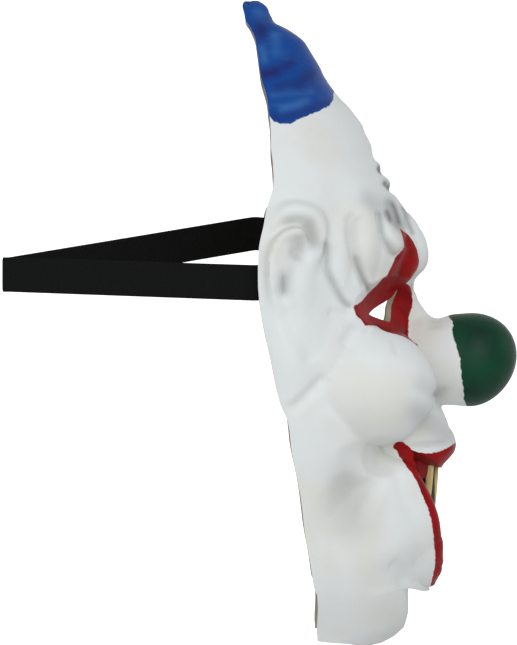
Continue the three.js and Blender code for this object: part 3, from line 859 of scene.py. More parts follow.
# Side view of the mid-plane, of the mouth's rim and of the chin, as (up, back)
FRONT_PROFILE = (
    (129.2, 83.7), (127.2, 81), (124, 79), (120.6, 77.4), (118.2, 76.3), (116.9, 73.6), (115.5, 70.6),
    (112.7, 66.2), (108.3, 60.6), (105, 58.6), (101.1, 56.2), (97.5, 54), (93.9, 51.8), (90.3, 50),
    (86.7, 48.2), (83.2, 45.6), (75.9, 39), (70.7, 34.8), (64.5, 30.2), (61.4, 29.4), (58.2, 27.6),
    (54, 25.7), (51, 25.5), (47.8, 23.9), (44.2, 21), (40.6, 19.8), (35.9, 16.3), (32.2, 15.2), (30.4, 15),
    (27, 12.5), (21, 7.9), (11.4, 0.6), (6.2, -2.3), (2, -3.4), (-4.2, -3.9), (-7.3, -3.4), (-10.4, -1.6),
    (-13.5, 1.6), (-17.2, 3.6), (-20.8, 3.4), (-26, 1.6), (-29.1, -0.5), (-31.7, -3.1), (-82.2, -11.2),
    (-85.3, -12), (-91.5, -14.3), (-95.4, -16.9), (-100.4, -18.2), (-102.4, -18.1), (-105.6, -16.9),
    (-108.2, -14.6), (-110.8, -12),
)
FRONT_WIDTH = (
    (-112, 20), (-100, 20), (-82, 30), (-30, 16), (-5, 22), (20, 45), (60, 45), (100, 30), (130, 12),
)
RIM_PROFILE = (
    (-101, 12), (-104.5, 9.5), (-110.5, 5.2), (-118.5, -0.5), (-124, -3.2), (-130.4, -5.8), (-137.7, -7.8),
    (-144.4, -8.9), (-149.7, -9.7), (-156.3, -10.5), (-159.6, -10.9), (-163.5, -10.7), (-168.2, -9.8),
    (-172.2, -7.8), (-175.2, -4.8), (-177.1, -1.4), (-199.7, 13.5), (-202.8, 19.8), (-204, 27),
)
RIM_WIDTH = ((-204, 60), (-175, 40), (-165, 26), (-150, 14), (-100, 12))
# Heights over which each profile sets in, and where the rim's does so beside the mid-plane and below the bow
FRONT_FROM = (-128, -112)
RIM_FROM = (-97, -104)
RIM_BESIDE = (14, 27)
RIM_BELOW = (-112, -117)
# The neck's front by height, its bend as the square of x over that length, its softness and where it sets in
NECK_PROFILE = ((-204, 27), (-202.8, 19.8), (-199.7, 13.5), (-195, 8.6), (-187.2, 6.6), (-178, 6.8))
NECK_BEND = 600
NECK_SOFT = 3
NECK_FROM = (-176.4, -178.0)
# Rise of the lower edge by the way back
LOWER_EDGE = ((31.5, 0), (34.8, 1.4), (38.5, 2.2), (52, 3.5), (54.6, 4.2))
# Heights over which that rise sets in
LOWER_EDGE_FROM = (-165, -204)
# Notch in the crown's rear edge: its depth, its way back and width, and the heights over which it sets in
CROWN_NOTCH = 1.5
NOTCH_PLACE = (90, 1.4)
NOTCH_FROM = (122, 128)
# Ledge under the chin: its rise, its height and width, and where it sets in by the way back and across
CHIN_LEDGE = 3.2
LEDGE_PLACE = (-178.5, 4)
LEDGE_BACK = (-2, 7)
LEDGE_ACROSS = (50, 36)
# Wall over the left patch's upper rear corner: how far it moves across and back, its height and width, and
# where it sets in by the way back and across
CORNER_MOVE = (2.2, 1.4)
CORNER_PLACE = (21, 7)
CORNER_BACK = (73, 79)
CORNER_ACROSS = 60
# Swelling and flat of the nose's end, as (direction, millimetres)
NOSE_FORMS = (((0.0, -0.76, 0.65), 1.3), ((0.0, -0.74, -0.67), -1.2))

DEEPEST_FOLD = -5.6
# Where the left strap patch lies behind the wall, as low and high, and how deep a fold may be over it
LEFT_PATCH = ((60, 110), (55, 84), (-8, 26))
FOLD_OVER_PATCH = -1.6
# Folds and swellings seen from the side, as points (back, up) in millimetres from the brow seat.
SIDE_DETAIL = (
    # Ear: helix, its outer step, scapha, antihelix, bowl, slit, flap in front of it
    Lump((67, 0), (17, 27), 2.2, 1.6),
    Crease([(78, 17), (72, 19.4), (66.6, 20.8), (60.4, 20.2), (56, 17.8), (53.4, 14.2), (52.2, 9.4),
            (52.6, 3.4),
            (54.4, -3), (56.5, -8.3)], 3.4, 6.2),
    Crease([(49.4, 17), (48.4, 8), (49.4, -1), (52, -9), (55, -15)], -1.2, 4.4, 0, 0, 0.4),
    Crease([(79, 4), (76, 9.6), (70, 13.4), (63.6, 14), (59, 11.6), (56.6, 6.8), (57, 1)], -3.4, 3.8),
    Lump((58.6, 10), (4.6, 7.5), -2.2, 2.0),
    Crease([(59.6, 2.5), (60.8, 7.3), (64.5, 8.9), (69.2, 7.8), (73.3, 4.7), (75.9, 0), (77.5, -6.2),
            (77.5, -14),
            (76.4, -23.4), (73.3, -33.8)], 3.6, 3.9),
    Lump((64, 0), (5.6, 8), -4.4, 1.6, -25),
    Crease([(64.5, 2), (68, -4), (70.6, -12), (71, -20), (70, -30)], -2.2, 4.6),
    Crease([(71, -8.5), (71.7, -14), (71.9, -20), (71.2, -27)], -1.8, 2.0, 0.5, 0, 0.4),
    Lump((61, -20), (9, 15), 1.6, 2.0),
    # Lobe: the crease in front of it, its swelling and its lower edge
    Crease([(70.5, -26), (66.6, -40.6), (59.8, -51), (55.7, -60)], -2.0, 7.0),
    Lump((68, -60), (18, 28), 3.2, 2.0, -10),
    Crease([(47.8, -64.5), (55, -71.5), (62, -78.5), (69, -84.5)], -2.6, 5.0),
    # Brow: three hanging folds and the creases between them
    Lump((42, -3), (7.0, 24), 2.4, 1.6),
    Lump((28.8, 1.5), (8.6, 24), 3.4, 1.6, 4),
    Lump((14.8, 6), (5.6, 12), 2.8, 1.6, -22, 12),
    Crease([(49.4, 6), (49, -8.7), (45.2, -18), (39.8, -27.2), (35.6, -29.5)], -2.2, 2.8, 0.45, 0, 0.06),
    Crease([(33, 20), (36, 15.9), (36.7, 7.8), (35.4, -1), (32.6, -9.3), (29.4, -16.5),
            (27.4, -20.5)], -3.2, 3.6, 0.12, 0, 0.08),
    Crease([(35.2, 0), (34.4, -4), (32.6, -9.3), (29.4, -16.5), (27.4, -20.5),
            (25.8, -23.8)], -0.2, 2.0, 0.65, 0, 0.25),
    Crease([(21.8, 21), (21.3, 13.5), (19.8, 6.9), (16.4, 1.3), (13.6, -3.6)], -2.8, 2.8, 0.4, 0, 0.08),
    Crease([(18, 19.2), (14.8, 15.1), (11.5, 12), (9.2, 7.8), (8.6, 2.9), (11.6, -2),
            (13.6, -4)], -1.8, 2.2, 0.2, 8, 0.05),
    Crease([(6, -16.5), (4.6, -19.5), (3.1, -22.2)], -0.8, 1.8, 0.35, 0, 0.2),
    # Forehead: ends of the two furrows and the frown's lines
    Crease([(22.6, 43.6), (21.6, 41.4), (19.8, 39.6)], -1.4, 1.9, 0.9, 6),
    Crease([(20, 35.8), (17.8, 33.4), (15, 31.2)], -1.4, 1.9, 0.9, 6),
    Crease([(18.6, 21.8), (16.8, 17.6), (15, 13.6)], -0.9, 2.2, 0.75, 6, 0.25),
    Crease([(15.8, 26.2), (13.6, 21.4), (11.9, 15.8), (10.8, 12.4)], -1.2, 2.1, 0.5, 4),
    Crease([(11, 24.4), (8.4, 20.1), (6.8, 14.6), (4.6, 9.4), (3.7, 7.2)], -1.1, 2.0, 0.45, 2),
    # Cheek: under the eye, behind the ball, and a faint fold on it
    Crease([(49, -32.8), (42, -33.8), (34.3, -32.8)], -1.4, 5.0),
    Crease([(34, -40), (37, -45), (41, -51)], -1.6, 5.0),
    Crease([(15.2, -45.2), (12.5, -55)], -0.6, 2.6, 0.05, 24),
    # Nose: a wrinkle on its stalk and the crease of its wing; hair: the valley between two locks
    Crease([(-5, -36.5), (-7.5, -38.4), (-5, -42.4)], -0.7, 1.8, 0.35),
    Lump((-9, -35), (6.5, 8), -2.0, 2.0, 0, -9),
    Crease([(-12.5, -70.7), (-8.8, -73.8), (-6.2, -76.8)], -1.2, 2.2, 0.4),
    Crease([(75, 117), (79, 110), (82, 102)], -1.2, 3.5),
    Crease([(45, 96), (52, 90), (58, 82)], -0.7, 4.0),
    # Jaw: hollow behind the mouth corner and the soft fold below it
    Lump((21.3, -108), (10, 11), -2.6, 1.2, 0, 26),
    Lump((36, -130), (13, 16), -2.2, 1.2, 0, 26),
    Crease([(16, -108), (22.4, -120), (27.6, -132), (31.7, -142)], -1.4, 6.0, 0.0, 26),
    Crease([(7.3, -174), (11, -167.4), (16, -162)], -1.4, 6.0),
)

# Ways back between which the folds seen from the front fade, then those folds as points (across, up)
FORWARD = (34, 24)
FRONT_DETAIL = (
    Crease([(-4, 40.5), (9, 40.8), (16, 41.4), (21, 42.4)], -1.6, 3.0, 0.6, 0, 0.1),
    Crease([(-4, 31), (9, 31.6), (16, 32.6), (22, 34.2)], -1.7, 3.2, 0.6, 0, 0.1),
    Crease([(-4, 47.5), (8, 48), (16, 49)], -0.9, 2.8, 0.3),
    Lump((24, -4), (13, 16), 1.0, 1.6),
)


@dataclass
class Shell:
    """The one-piece moulded face: its outside, its hollow, its eye holes and its mouth."""

    face: Face
    columns: int = 276
    rows: int = 292
    inner_columns: int = 92
    inner_rows: int = 106
    overrun: float = 14.0
    eye_way: tuple[float, float] = (0.35, -0.94)
    lip_drop: float = 10.0
    mouth_floor: float = 7.0
    eye_reach: tuple[float, float] = (20.0, 26.0)
    eye_across: float = 12.0
    eye_back: float = 42.0
    eye_heights: tuple[float, float] = (-48.0, -12.0)

    def turns(self, columns: int) -> Array:
        """Turns of the columns, closer together over the nose, the mouth and the brows."""

        def weight(t: Array) -> Array:
            """Density at a turn."""
            return 1 + 1.2 * bell(t, 0, 0.28, 4) + 0.6 * bell(np.abs(t), 0.55, 0.3, 4)

        return spread(columns, -math.pi / 2, math.pi / 2, weight)

    def heights(self, rows: int, low: float, high: float) -> Array:
        """Heights of the rows, closer together over the nose, the brows and the chin's ledge."""
        closer = ((0.8, -self.face.nose_drop, 27, 6), (0.8, 2, 30, 6), (1.6, -177.0, 4, 2))
        return spread(rows, low, high, lambda z: 1 + sum(more * bell(z, *place) for more, *place in closer))

    def outside(self) -> Array:
        """Works out the outer surface.

        Returns:
            Points as [row, column, coordinate]: the face with its nose, then smoothed at the nose's root,
            then pushed along its own normals by the folds and swellings.
        """
        turn, z = np.meshgrid(
            self.turns(self.columns),
            self.heights(self.rows, -self.face.chin_drop, 0.996 * self.face.crown_rise),
        )
        points = self.face.with_nose(turn, z)
        root = bell(self.face.nose_share_at(turn, z)[0], 1.0, 0.22)[..., None]
        for _ in range(14):
            points = points + root * (neighbour_mean(points) - points) * 0.8
        x, y, z = np.moveaxis(points, -1, 0)
        notch = CROWN_NOTCH * bell(y, *NOTCH_PLACE) * smooth_step(*NOTCH_FROM, z)
        ledge = CHIN_LEDGE * bell(z, *LEDGE_PLACE) * smooth_step(*LEDGE_BACK, y)
        ledge = ledge * smooth_step(*LEDGE_ACROSS, np.abs(x))
        edge = table_value(y, LOWER_EDGE) * smooth_step(*LOWER_EDGE_FROM, z)
        corner = bell(z, *CORNER_PLACE) * smooth_step(*CORNER_BACK, y) * (x > CORNER_ACROSS)
        points = points + joined(CORNER_MOVE[0] * corner, CORNER_MOVE[1] * corner, edge - notch + ledge)
        height = neighbour_mean(detail_height(points)[..., None])
        return points + grid_normals(points) * height

    def hollow(self) -> Array:
        """Works out the cavity's surface, a wall inside the face, open at the back and below.

        Under a fold it goes in by the lowest level of the fold round it, so the wall keeps its thickness.
        """
        wall = self.face.wall
        turn, z = np.meshgrid(
            self.turns(self.inner_columns),
            self.heights(self.inner_rows, -self.face.chin_drop, 0.9 * self.face.crown_rise),
        )
        outer = self.face.point(turn, z)
        fold = lowest_round(np.minimum(detail_height(outer), 0))
        points = self.face.point(turn, z, wall) + grid_normals(outer) * fold[..., None]
        back = np.array([0, self.overrun, 0])
        points = np.concatenate([points[:, :1] + back, points, points[:, -1:] + back], axis=1)
        return np.concatenate([points[:1] - np.array([0, 0, self.overrun]), points], axis=0)

    def nose_hollow(self) -> Array:
        """Rings of the nose's hollow: an ellipse at the root, then a round end."""
        wall, face = self.face.wall, self.face
        radius = face.nose_radius - wall
        round_ = full_turn(64)
        bend = np.linspace(0, math.radians(88), 16)
        middle = face.nose_radius - face.nose_reach
        y = np.concatenate([[2 * self.mouth_floor], middle - radius * np.sin(bend)])
        across, high = (
            np.concatenate([[root - 1.5 * wall], radius * np.cos(bend)])[:, None] for root in face.nose_root
        )
        return joined(across * np.cos(round_), y[:, None], high * np.sin(round_) - face.nose_drop)

    def prism(self, outline: Array, rear: float, front: float) -> Array:
        """Rings of a straight block: an outline (across, up) carried from the rear to the front."""
        return np.stack([joined(outline[:, 0], y, outline[:, 1]) for y in (rear, front)])

    def eye_cutter(self, side: Side, surface: Array) -> Array:
        """Rings of the block that cuts an eye hole.

        Args:
            side: Which eye.
            surface: Points of the outer surface.

        Returns:
            Two rings: the hole's outline in side view, laid on the surface by the nearest of its points, then
            carried inwards and outwards across the wall.
        """
        line = through(EYE_HOLE, 5)[:-1]
        points = surface.reshape(-1, 3)
        near = (side.value * points[:, 0] > self.eye_across) & (points[:, 1] < self.eye_back)
        points = points[near & (within(points[:, 2], *self.eye_heights) > 0)]
        _, y, z = seen_from_side(points)
        gap = np.hypot(y - line[:, :1], z - line[:, 1:])
        ring = points[np.argmin(gap, axis=1)]
        for _ in range(4):
            ring[:, 0] = (np.roll(ring[:, 0], 1) + ring[:, 0] + np.roll(ring[:, 0], -1)) / 3
        share = np.abs(ring[:, :1]) / VIEW_DISTANCE
        ring[:, 1:] = line + (np.array(VIEW_MIDDLE) - line) * share
        way = np.array([side.value * self.eye_way[0], self.eye_way[1], 0])
        return np.stack([ring - self.eye_reach[0] * way, ring + self.eye_reach[1] * way])

    def mouth_outline(self, grow: float = 0.0) -> Array:
        """Outline of the mouth: the upper lip's bow and a deep round sweep below it."""
        half, corner = self.face.mouth_half + grow, -self.face.mouth_line + grow
        bottom = -self.face.mouth_line - self.face.mouth_drop - grow
        drop, middle = corner - SWEEP_DOWN * self.face.mouth_drop, corner - self.lip_drop
        sweep = ((-half, corner), (-half, drop), (-SWEEP_ACROSS * half, bottom), (0, bottom))
        bow = ((half, corner), (0.67 * half, middle), (0.33 * half, middle), (0, middle))
        t = np.linspace(0, 1, 24, endpoint=False)[:, None]
        return np.vstack([
            bezier(t, *sweep),
            bezier(t, *((-x, z) for x, z in sweep[::-1])),
            bezier(t, *bow),
            bezier(t, *((-x, z) for x, z in bow[::-1])),
        ])

    def build(self, paint: Material, raw: Material, mouth: Material) -> Piece:
        """Cuts the hollow, the mouth and the eye holes out of the outside.

        Args:
            paint: Finish of the outside.
            raw: Finish of the inside and of the cut edges.
            mouth: Finish of the mouth's inside.

        Returns:
            The shell, one closed solid.
        """
        wall, depth = self.face.wall, self.face.face_depth
        surface = self.outside()
        shell = make_solid("moulded_face", surface, paint)
        cavity = make_solid("hollow", self.hollow(), raw)
        combine(cavity, make_solid("nose_hollow", self.nose_hollow(), raw), Cut.ADD)
        keep = self.prism(self.mouth_outline(wall), self.mouth_floor + wall, -depth)
        combine(cavity, make_solid("mouth_wall", keep, raw), Cut.TAKE_AWAY)
        combine(shell, cavity, Cut.TAKE_AWAY)
        opening = self.prism(self.mouth_outline(), self.mouth_floor, -depth)
        combine(shell, make_solid("mouth_opening", opening, mouth), Cut.TAKE_AWAY)
        for side in Side:
            combine(shell, make_solid("eye_hole", self.eye_cutter(side, surface), raw), Cut.TAKE_AWAY)
        combine(shell, make_solid("gum", self.gum(), mouth), Cut.ADD)
        return shell

    def gum(self) -> Array:
        """Rings of the inner lip that the teeth hang from: an upright rounded slab bent back at both ends."""
        half_long, thick, top, roundness = 24, 7.0, -101.0, 0.7
        x = np.linspace(-half_long, half_long, 33)[:, None]
        angle = full_turn(28)
        front, low = 0.018 * x**2 - 8.7, -116 - 3.2 * (x / 20) ** 2
        y = front + thick / 2 * (1 - rounded(np.cos(angle), roundness))
        return joined(x, y, (top + low) / 2 + (top - low) / 2 * rounded(np.sin(angle), roundness))

    def mark_paint(self, mesh: Mesh) -> None:
        """Keeps, for each point, how deep it lies inside each field of paint, and how strong the airbrush,
        the painted shade, the painted highlights and the furrows' dark paint are there.
        """
        points = get_points(mesh)
        side, y, z = seen_from_side(points)
        store(mesh, "blue", inside_distance(y, z, np.array(HAIR_FIELD)))
        store(mesh, "green", table_value(z, NOSE_EDGE) - y)
        red = np.maximum(self.eye_paint(side, y, z), self.lip_paint(side, y, z))
        store(mesh, "red", along_surface(mesh, red))
        # The hair's purple airbrush with painted shade, its painted highlights, and the skin's painted shade
        # with the frown's airbrush
        for name, table in (("purple_and_painted_shade", HAIR_PURPLE_AND_PAINTED_SHADE), ("pale", HAIR_PAINTED_HIGHLIGHT), ("shade", SKIN_PAINTED_SHADE_AND_AIRBRUSH)):
            store(mesh, name, streaks(y, z, table))
        # Dark paint in the furrows and painted shade in the other creases
        store(mesh, "dark_paint_and_shade", np.minimum(soften(mesh, dark_paint_and_shade_level(points)) * DARK_PAINT_AND_SHADE_GAIN, 1))

    def eye_paint(self, side: Array, y: Array, z: Array) -> Array:
        """How deep points lie in the red round an eye: its field in side view, and a band below it."""
        eye = np.minimum(inside_distance(y, z, np.array(EYE_FIELD)), side - table_value(z, EYE_INNER))
        ahead = np.minimum(y - table_value(z, EYE_BAND_FRONT), EYE_BAND_REAR - y)
        under = np.minimum(z - table_value(side, EYE_BAND_LOW), EYE_BAND_TOP - z)
        under = np.minimum(np.minimum(under, ahead), within(side, *EYE_BAND_ACROSS))
        return np.minimum(np.maximum(eye, under), z - table_value(side, EYE_UNDER))

    def lip_paint(self, side: Array, y: Array, z: Array) -> Array:
        """How deep points lie in the red of the lower or the upper lip."""
        lower = np.minimum(table_value(z, through(LOWER_LIP_EDGE)) - y, within(z, *LOWER_LIP_SPAN))
        lower = np.where(z > MOUTH_CORNER[0][0], np.minimum(lower, y - table_value(z, MOUTH_CORNER)), lower)
        upper = np.minimum(z - UPPER_LIP_LOW, UPPER_LIP_REAR - y)
        upper = np.minimum(table_value(y, UPPER_LIP_EDGE) - z, upper)
        upper = np.where(z < UPPER_LIP_TURN, np.minimum(upper, UPPER_LIP_ACROSS - side), upper)
        return np.minimum(np.maximum(lower, upper), table_value(z, LIP_ACROSS) - side)


# Side view of an eye hole, and borders of the paint, as points (back, up) in millimetres from the brow seat
EYE_HOLE = (
    (27.1, -32.7), (22.6, -29.4), (18.4, -26.8), (14.8, -24.2), (12.4, -20.6), (13, -23.4), (15.2, -28.6),
    (15.9, -34.3), (16.2, -37.2), (18.8, -36.7), (22.5, -35.4), (26.5, -33.9), (27.1, -32.7),
)
HAIR_FIELD = (
    (45.2, 84.2), (45.8, 78), (47.5, 75.2), (53.1, 72.2), (59, 69.8), (65.2, 67.5), (66.9, 65.5),
    (73.3, 65.8), (76.8, 66.8), (78.9, 69.7), (100, 75), (112, 140), (20, 140), (20, 84.2),
)
NOSE_EDGE = (
    (-81, -23.6), (-77.5, -22.2), (-72.3, -22.2), (-66.6, -21.2), (-60.6, -20.4), (-56.5, -20.4),
    (-51.5, -18.8), (-45.8, -17), (-42, -16.1), (-39.5, -16.7), (-37.4, -16.3), (-34, -13.9),
)
EYE_FIELD = (
    (11.2, 11.2), (9.9, 8.1), (8.8, 3.6), (9, 1), (13.5, -4.2), (15.2, -8.3), (17.9, -13.5), (20.3, -15.1),
    (22.9, -18.2), (27.4, -22.4), (31.4, -27.3), (35.4, -29.1), (33.3, -34.3), (30.9, -36.7), (29.1, -39),
    (22.9, -39.5), (21, -41.1), (17.9, -42.6), (13.5, -44.2), (10.8, -45.8), (6.8, -47.8), (3.6, -51.5),
    (-0.2, -54.1), (1.8, -49.7), (6.2, -45.8), (7, -42.6), (6.6, -38.5), (6.2, -33.5), (4.7, -30),
    (4.3, -26), (4.9, -21.3), (6, -17.6), (2.7, -14.9), (1.4, -10), (1, -5.2), (2, 0), (4.2, 4.7),
    (6.3, 7.6), (8.4, 9.4),
)
# Red paint seen from the front: its inner border as (up, across) and its lower one as (across, up)
EYE_INNER = ((-20, 2), (-17, 9), (-12, 12), (-5, 17), (15, 17))
EYE_UNDER = ((20, -60), (36, -56), (44, -50), (50, -45), (56, -42.5), (70, -38))
# Band of red below the eye: its front by height, its rear, its lower edge by the distance from the mid-plane
EYE_BAND_FRONT = ((-50.5, -1), (-45.5, 6.6))
EYE_BAND_REAR = 27
EYE_BAND_LOW = ((13, -46), (34, -50.5), (44, -50))
EYE_BAND_TOP = -34
EYE_BAND_ACROSS = (13, 46)
# Red of the lips: its span of heights, its front at the mouth's corner and its reach across by height
LOWER_LIP_SPAN = (-176.5, -101)
MOUTH_CORNER = ((-106.6, -9), (-105.4, 3.2), (-99.2, 9.4))
LIP_ACROSS = ((-130, 50), (-112, 46), (-104, 38))
# Upper lip: its lowest height and rearmost paint, and below which height it ends how far across
UPPER_LIP_LOW = -116
UPPER_LIP_REAR = 14.5
UPPER_LIP_TURN = -103.5
UPPER_LIP_ACROSS = 32.5
LOWER_LIP_EDGE = (
    (-175.2, -4.8), (-170.9, -5.8), (-166.2, -6.8), (-160.9, -7.4), (-155, -7), (-149.7, -6.6),
    (-141.6, -5.5), (-135, -3.8), (-127.1, -0.5), (-119.1, 2.8), (-112.5, 7.6), (-106.5, 11.6),
    (-104.5, 12.3), (-101.6, 14.6),
)
UPPER_LIP_EDGE = (
    (-20, -99.5), (-18.2, -100.1), (-14.6, -102.4), (-10.4, -104.5), (-5.7, -105.6), (3.1, -105.8),
    (5.8, -103.4), (8.3, -101), (10, -99.4), (12, -99), (14.6, -101.4),
)
# Gain of the dark paint in the furrows and of the painted shade in other creases
DARK_PAINT_AND_SHADE_GAIN = 1.15
# Streaks: both ends as (back, up), half width and strength. On the hair, purple airbrush with painted shade
# between the locks and under their lower roll
HAIR_PURPLE_AND_PAINTED_SHADE = (
    ((83.2, 115.5), (83.4, 112.5), 4.2, 0.75), ((81, 91.6), (75.5, 92.8), 3.4, 0.85),
    ((75.5, 92.8), (67, 97.5), 3.0, 0.6), ((74.6, 84.8), (64, 86.5), 2.8, 0.5),
    ((64, 86.5), (57.4, 91.2), 3.6, 0.55), ((76, 68.6), (64, 71), 2.6, 0.4),
    ((62, 71.5), (49, 77), 2.0, 0.45),
)
# Painted highlights on the hair's locks
HAIR_PAINTED_HIGHLIGHT = (
    ((85, 124), (83, 120), 3.0, 0.4), ((82.8, 105), (81.5, 99), 2.4, 0.6),
    ((75.9, 111), (75, 104), 3.0, 0.45), ((77, 80.6), (57.7, 82), 1.8, 0.4),
    ((72, 73.4), (59.8, 77.6), 2.4, 0.6),
)
# Painted shade in the ear, under the nose, on the muzzle, in the jaw's hollow and darker towards the neck; at
# the frown, grey airbrush with painted shade
SKIN_PAINTED_SHADE_AND_AIRBRUSH = (
    ((28, 26), (19, 21), 5.0, 0.35), ((17, 24), (11.5, 13), 3.6, 0.6), ((58, 13), (55.5, 4), 4.5, 0.5),
    ((69, 15), (60, 16), 3.0, 0.3), ((62.5, 4), (65, -3), 4.0, 0.45), ((66, -3), (71, -20), 3.5, 0.25),
    ((40, -118), (35, -140), 11.0, 0.3), ((-12, -97), (2, -84), 7.0, 0.35),
    ((-8, -76), (0, -70), 5.0, 0.25), ((75, -188), (18, -190), 20.0, 0.22),
)


def streaks(y: Array, z: Array, table: Sequence) -> Array:
    """Strongest streak at points of the side view: strength * exp(-(distance / width)^2). Its tables hold
    airbrush, painted shade and painted highlights.
    """
    level = np.zeros(y.shape)
    for start, end, wide, strength in table:
        distance, _ = line_distance(y, z, np.array([start, end]))
        level = np.maximum(level, strength * bell(distance, 0, wide))
    return level


def edge_ends(mesh: Mesh) -> tuple[Array, Array]:
    """Numbers of the two points of each edge."""
    ends = np.empty(2 * len(mesh.edges), dtype=np.int32)
    mesh.edges.foreach_get("vertices", ends)
    return ends[::2], ends[1::2]


def soften(mesh: Mesh, values: Array, rounds: int = 2) -> Array:
    """Moves each value halfway to the mean of those at the other ends of its edges, a few times over."""
    first, second = edge_ends(mesh)
    size = len(values)
    count = np.maximum(np.bincount(first, minlength=size) + np.bincount(second, minlength=size), 1)
    for _ in range(rounds):
        total = np.bincount(first, values[second], size) + np.bincount(second, values[first], size)
        values = (values + total / count) / 2
    return values


def along_surface(mesh: Mesh, values: Array) -> Array:
    """Turns distances seen from the side into distances along the surface.

    Args:
        mesh: The mesh the values belong to.
        values: One number for each point.

    Returns:
        Each value divided by its steepest change along the edges that meet there, by 0.25 at the least.
    """
    points = get_points(mesh)
    first, second = edge_ends(mesh)
    length = np.linalg.norm(points[first] - points[second], axis=1)
    change = np.abs(values[first] - values[second]) / np.maximum(length, 1e-3)
    steepest = np.zeros(len(points))
    np.maximum.at(steepest, first, change)
    np.maximum.at(steepest, second, change)
    return values / np.clip(steepest, 0.25, 1)


def lowest_round(values: Array) -> Array:
    """Lowest of each grid value and its eight neighbours."""
    padded = np.pad(values, 1, mode="edge")
    rows, columns = values.shape
    return np.min([padded[i:i + rows, j:j + columns] for i in range(3) for j in range(3)], axis=0)


def neighbour_mean(points: Array) -> Array:
    """Mean of each grid point's four neighbours, and the point itself along the grid's border."""
    mean = points.copy()
    mean[1:-1, 1:-1] = (points[:-2, 1:-1] + points[2:, 1:-1] + points[1:-1, :-2] + points[1:-1, 2:]) / 4
    return mean


def grid_normals(points: Array) -> Array:
    """Outward normals of a grid of points: the cross product of its two slopes."""
    down = np.gradient(points, axis=0)
    across = np.gradient(points, axis=1)
    normals = np.cross(across, down)
    return normals / np.maximum(np.linalg.norm(normals, axis=-1, keepdims=True), 1e-9)


def past(side: Array, limit: float) -> Array:
    """Rises from 0 to 1 over 6 mm round a distance from the mid-plane."""
    return smooth_step(limit - 3, limit + 3, side)


def detail_height(points: Array) -> Array:
    """Sum of all folds and swellings over the points, in millimetres."""
    side, y, z = seen_from_side(points)
    height = np.zeros(side.shape)
    for form in SIDE_DETAIL:
        height += form.height(y, z) * past(side, form.beyond)
    forward = smooth_step(*FORWARD, y)
    for form in FRONT_DETAIL:
        height += form.height(side, z) * forward
    over_patch = box_share(points, LEFT_PATCH)
    return np.maximum(height, DEEPEST_FOLD * (1 - over_patch) + FOLD_OVER_PATCH * over_patch)


def box_share(points: Array, box: Sequence[tuple[float, float]], soft: float = 4.0) -> Array:
    """Share of points in a box of low and high (x, y, z): 1 in it, and 0 from soft millimetres outside."""
    share = np.ones(points.shape[:-1])
    for axis, (low, high) in enumerate(box):
        place = points[..., axis]
        share *= smooth_step(low - soft, low, place) * smooth_step(high + soft, high, place)
    return share


def dark_paint_and_shade_level(points: Array) -> Array:
    """Darkest dark paint and painted shade along a fold at each point, from 0 to 1."""
    side, y, z = seen_from_side(points)
    level = np.zeros(side.shape)
    for forms, u, gate in ((SIDE_DETAIL, y, 1.0), (FRONT_DETAIL, side, smooth_step(*FORWARD, y))):
        for form in forms:
            if isinstance(form, Crease) and form.dark_paint_and_shade > 0:
                level = np.maximum(level, form.trace(u, z) * gate * past(side, form.beyond))
    return level


@dataclass(frozen=True)
class ToothPlace:
    """A tooth: two shares of the mouth's half width, its front, its length and where its paint darkens into
    painted shade at its rear.
    """

    across: float
    wide: float
    front: float
    length: float
    dark: float


@dataclass
class Teeth:
    """Four upper teeth hanging from the inner lip, part of the same moulding."""

    mouth_half: float = 33.0
    top: float = 106.0
    thick: float = 5.2
    places: tuple[ToothPlace, ...] = (
        ToothPlace(0.145, 0.12, -9.2, 30.4, -6.9), ToothPlace(0.43, 0.11, -6.4, 25.5, -1.6),
    )

    def build(self, shell: Piece, finish: Material) -> None:
        """Adds each tooth to the shell: a rounded section that widens, then closes at its lower edge."""
        for side in Side:
            for place in self.places:
                half, middle = place.wide * self.mouth_half, side.value * place.across * self.mouth_half
                tooth = make_solid("tooth", self.rings(middle, half, place.front, place.length), finish)
                combine(shell, tooth, Cut.ADD)

    def mark_outline_and_gap_shade(self, mesh: Mesh) -> None:
        """Keeps how grey each tooth's paint is: 0 on its face, 1 at its rear, as painted shade of the gap,
        and at its lower edge, as a painted outline.
        """
        x, y, z = get_points(mesh).T
        inner, outer = self.places
        limit = (inner.across + outer.across) / 2 * self.mouth_half
        dark = np.where(np.abs(x) < limit, inner.dark, outer.dark)
        bottom = -self.top - np.where(np.abs(x) < limit, inner.length, outer.length)
        rear = smooth_step(dark - 0.9, dark + 0.5, y)
        store(mesh, "rim", np.maximum(rear, smooth_step(bottom + 2.6, bottom, z)))

    def rings(self, middle: float, half: float, front: float, drop: float) -> Array:
        """Rings of a tooth from its root down.

        Args:
            middle: Distance from the mid-plane.
            half: Half its width.
            front: Y of its front face.
            drop: Its length.

        Returns:
            Level superellipses |x/a|^3 + |y/b|^3 = 1, which shrink over the last fifth as a quarter circle.
        """
        straight, closing, roundness, bent_back = 0.8, 0.2, 0.66, 1.4
        bend = np.sin(np.linspace(0, math.pi / 2, 14))[1:]
        v = np.concatenate([np.linspace(0, straight, 18), straight + closing * bend])[:, None]
        end = np.sqrt(np.maximum(1 - np.clip((v - straight) / closing, 0, 1) ** 2, 0.0004))
        a = half * (0.9 + 0.12 * np.sin(v * math.pi * 0.62)) * (0.35 + 0.65 * end)
        b = self.thick / 2 * (0.75 + 0.25 * end) * (1 - 0.35 * v)
        angle = full_turn(40)
        y = front + self.thick / 2 + bent_back * v**2 + b * rounded(np.sin(angle), roundness)
        return joined(middle + a * rounded(np.cos(angle), roundness), y, -self.top - drop * v)


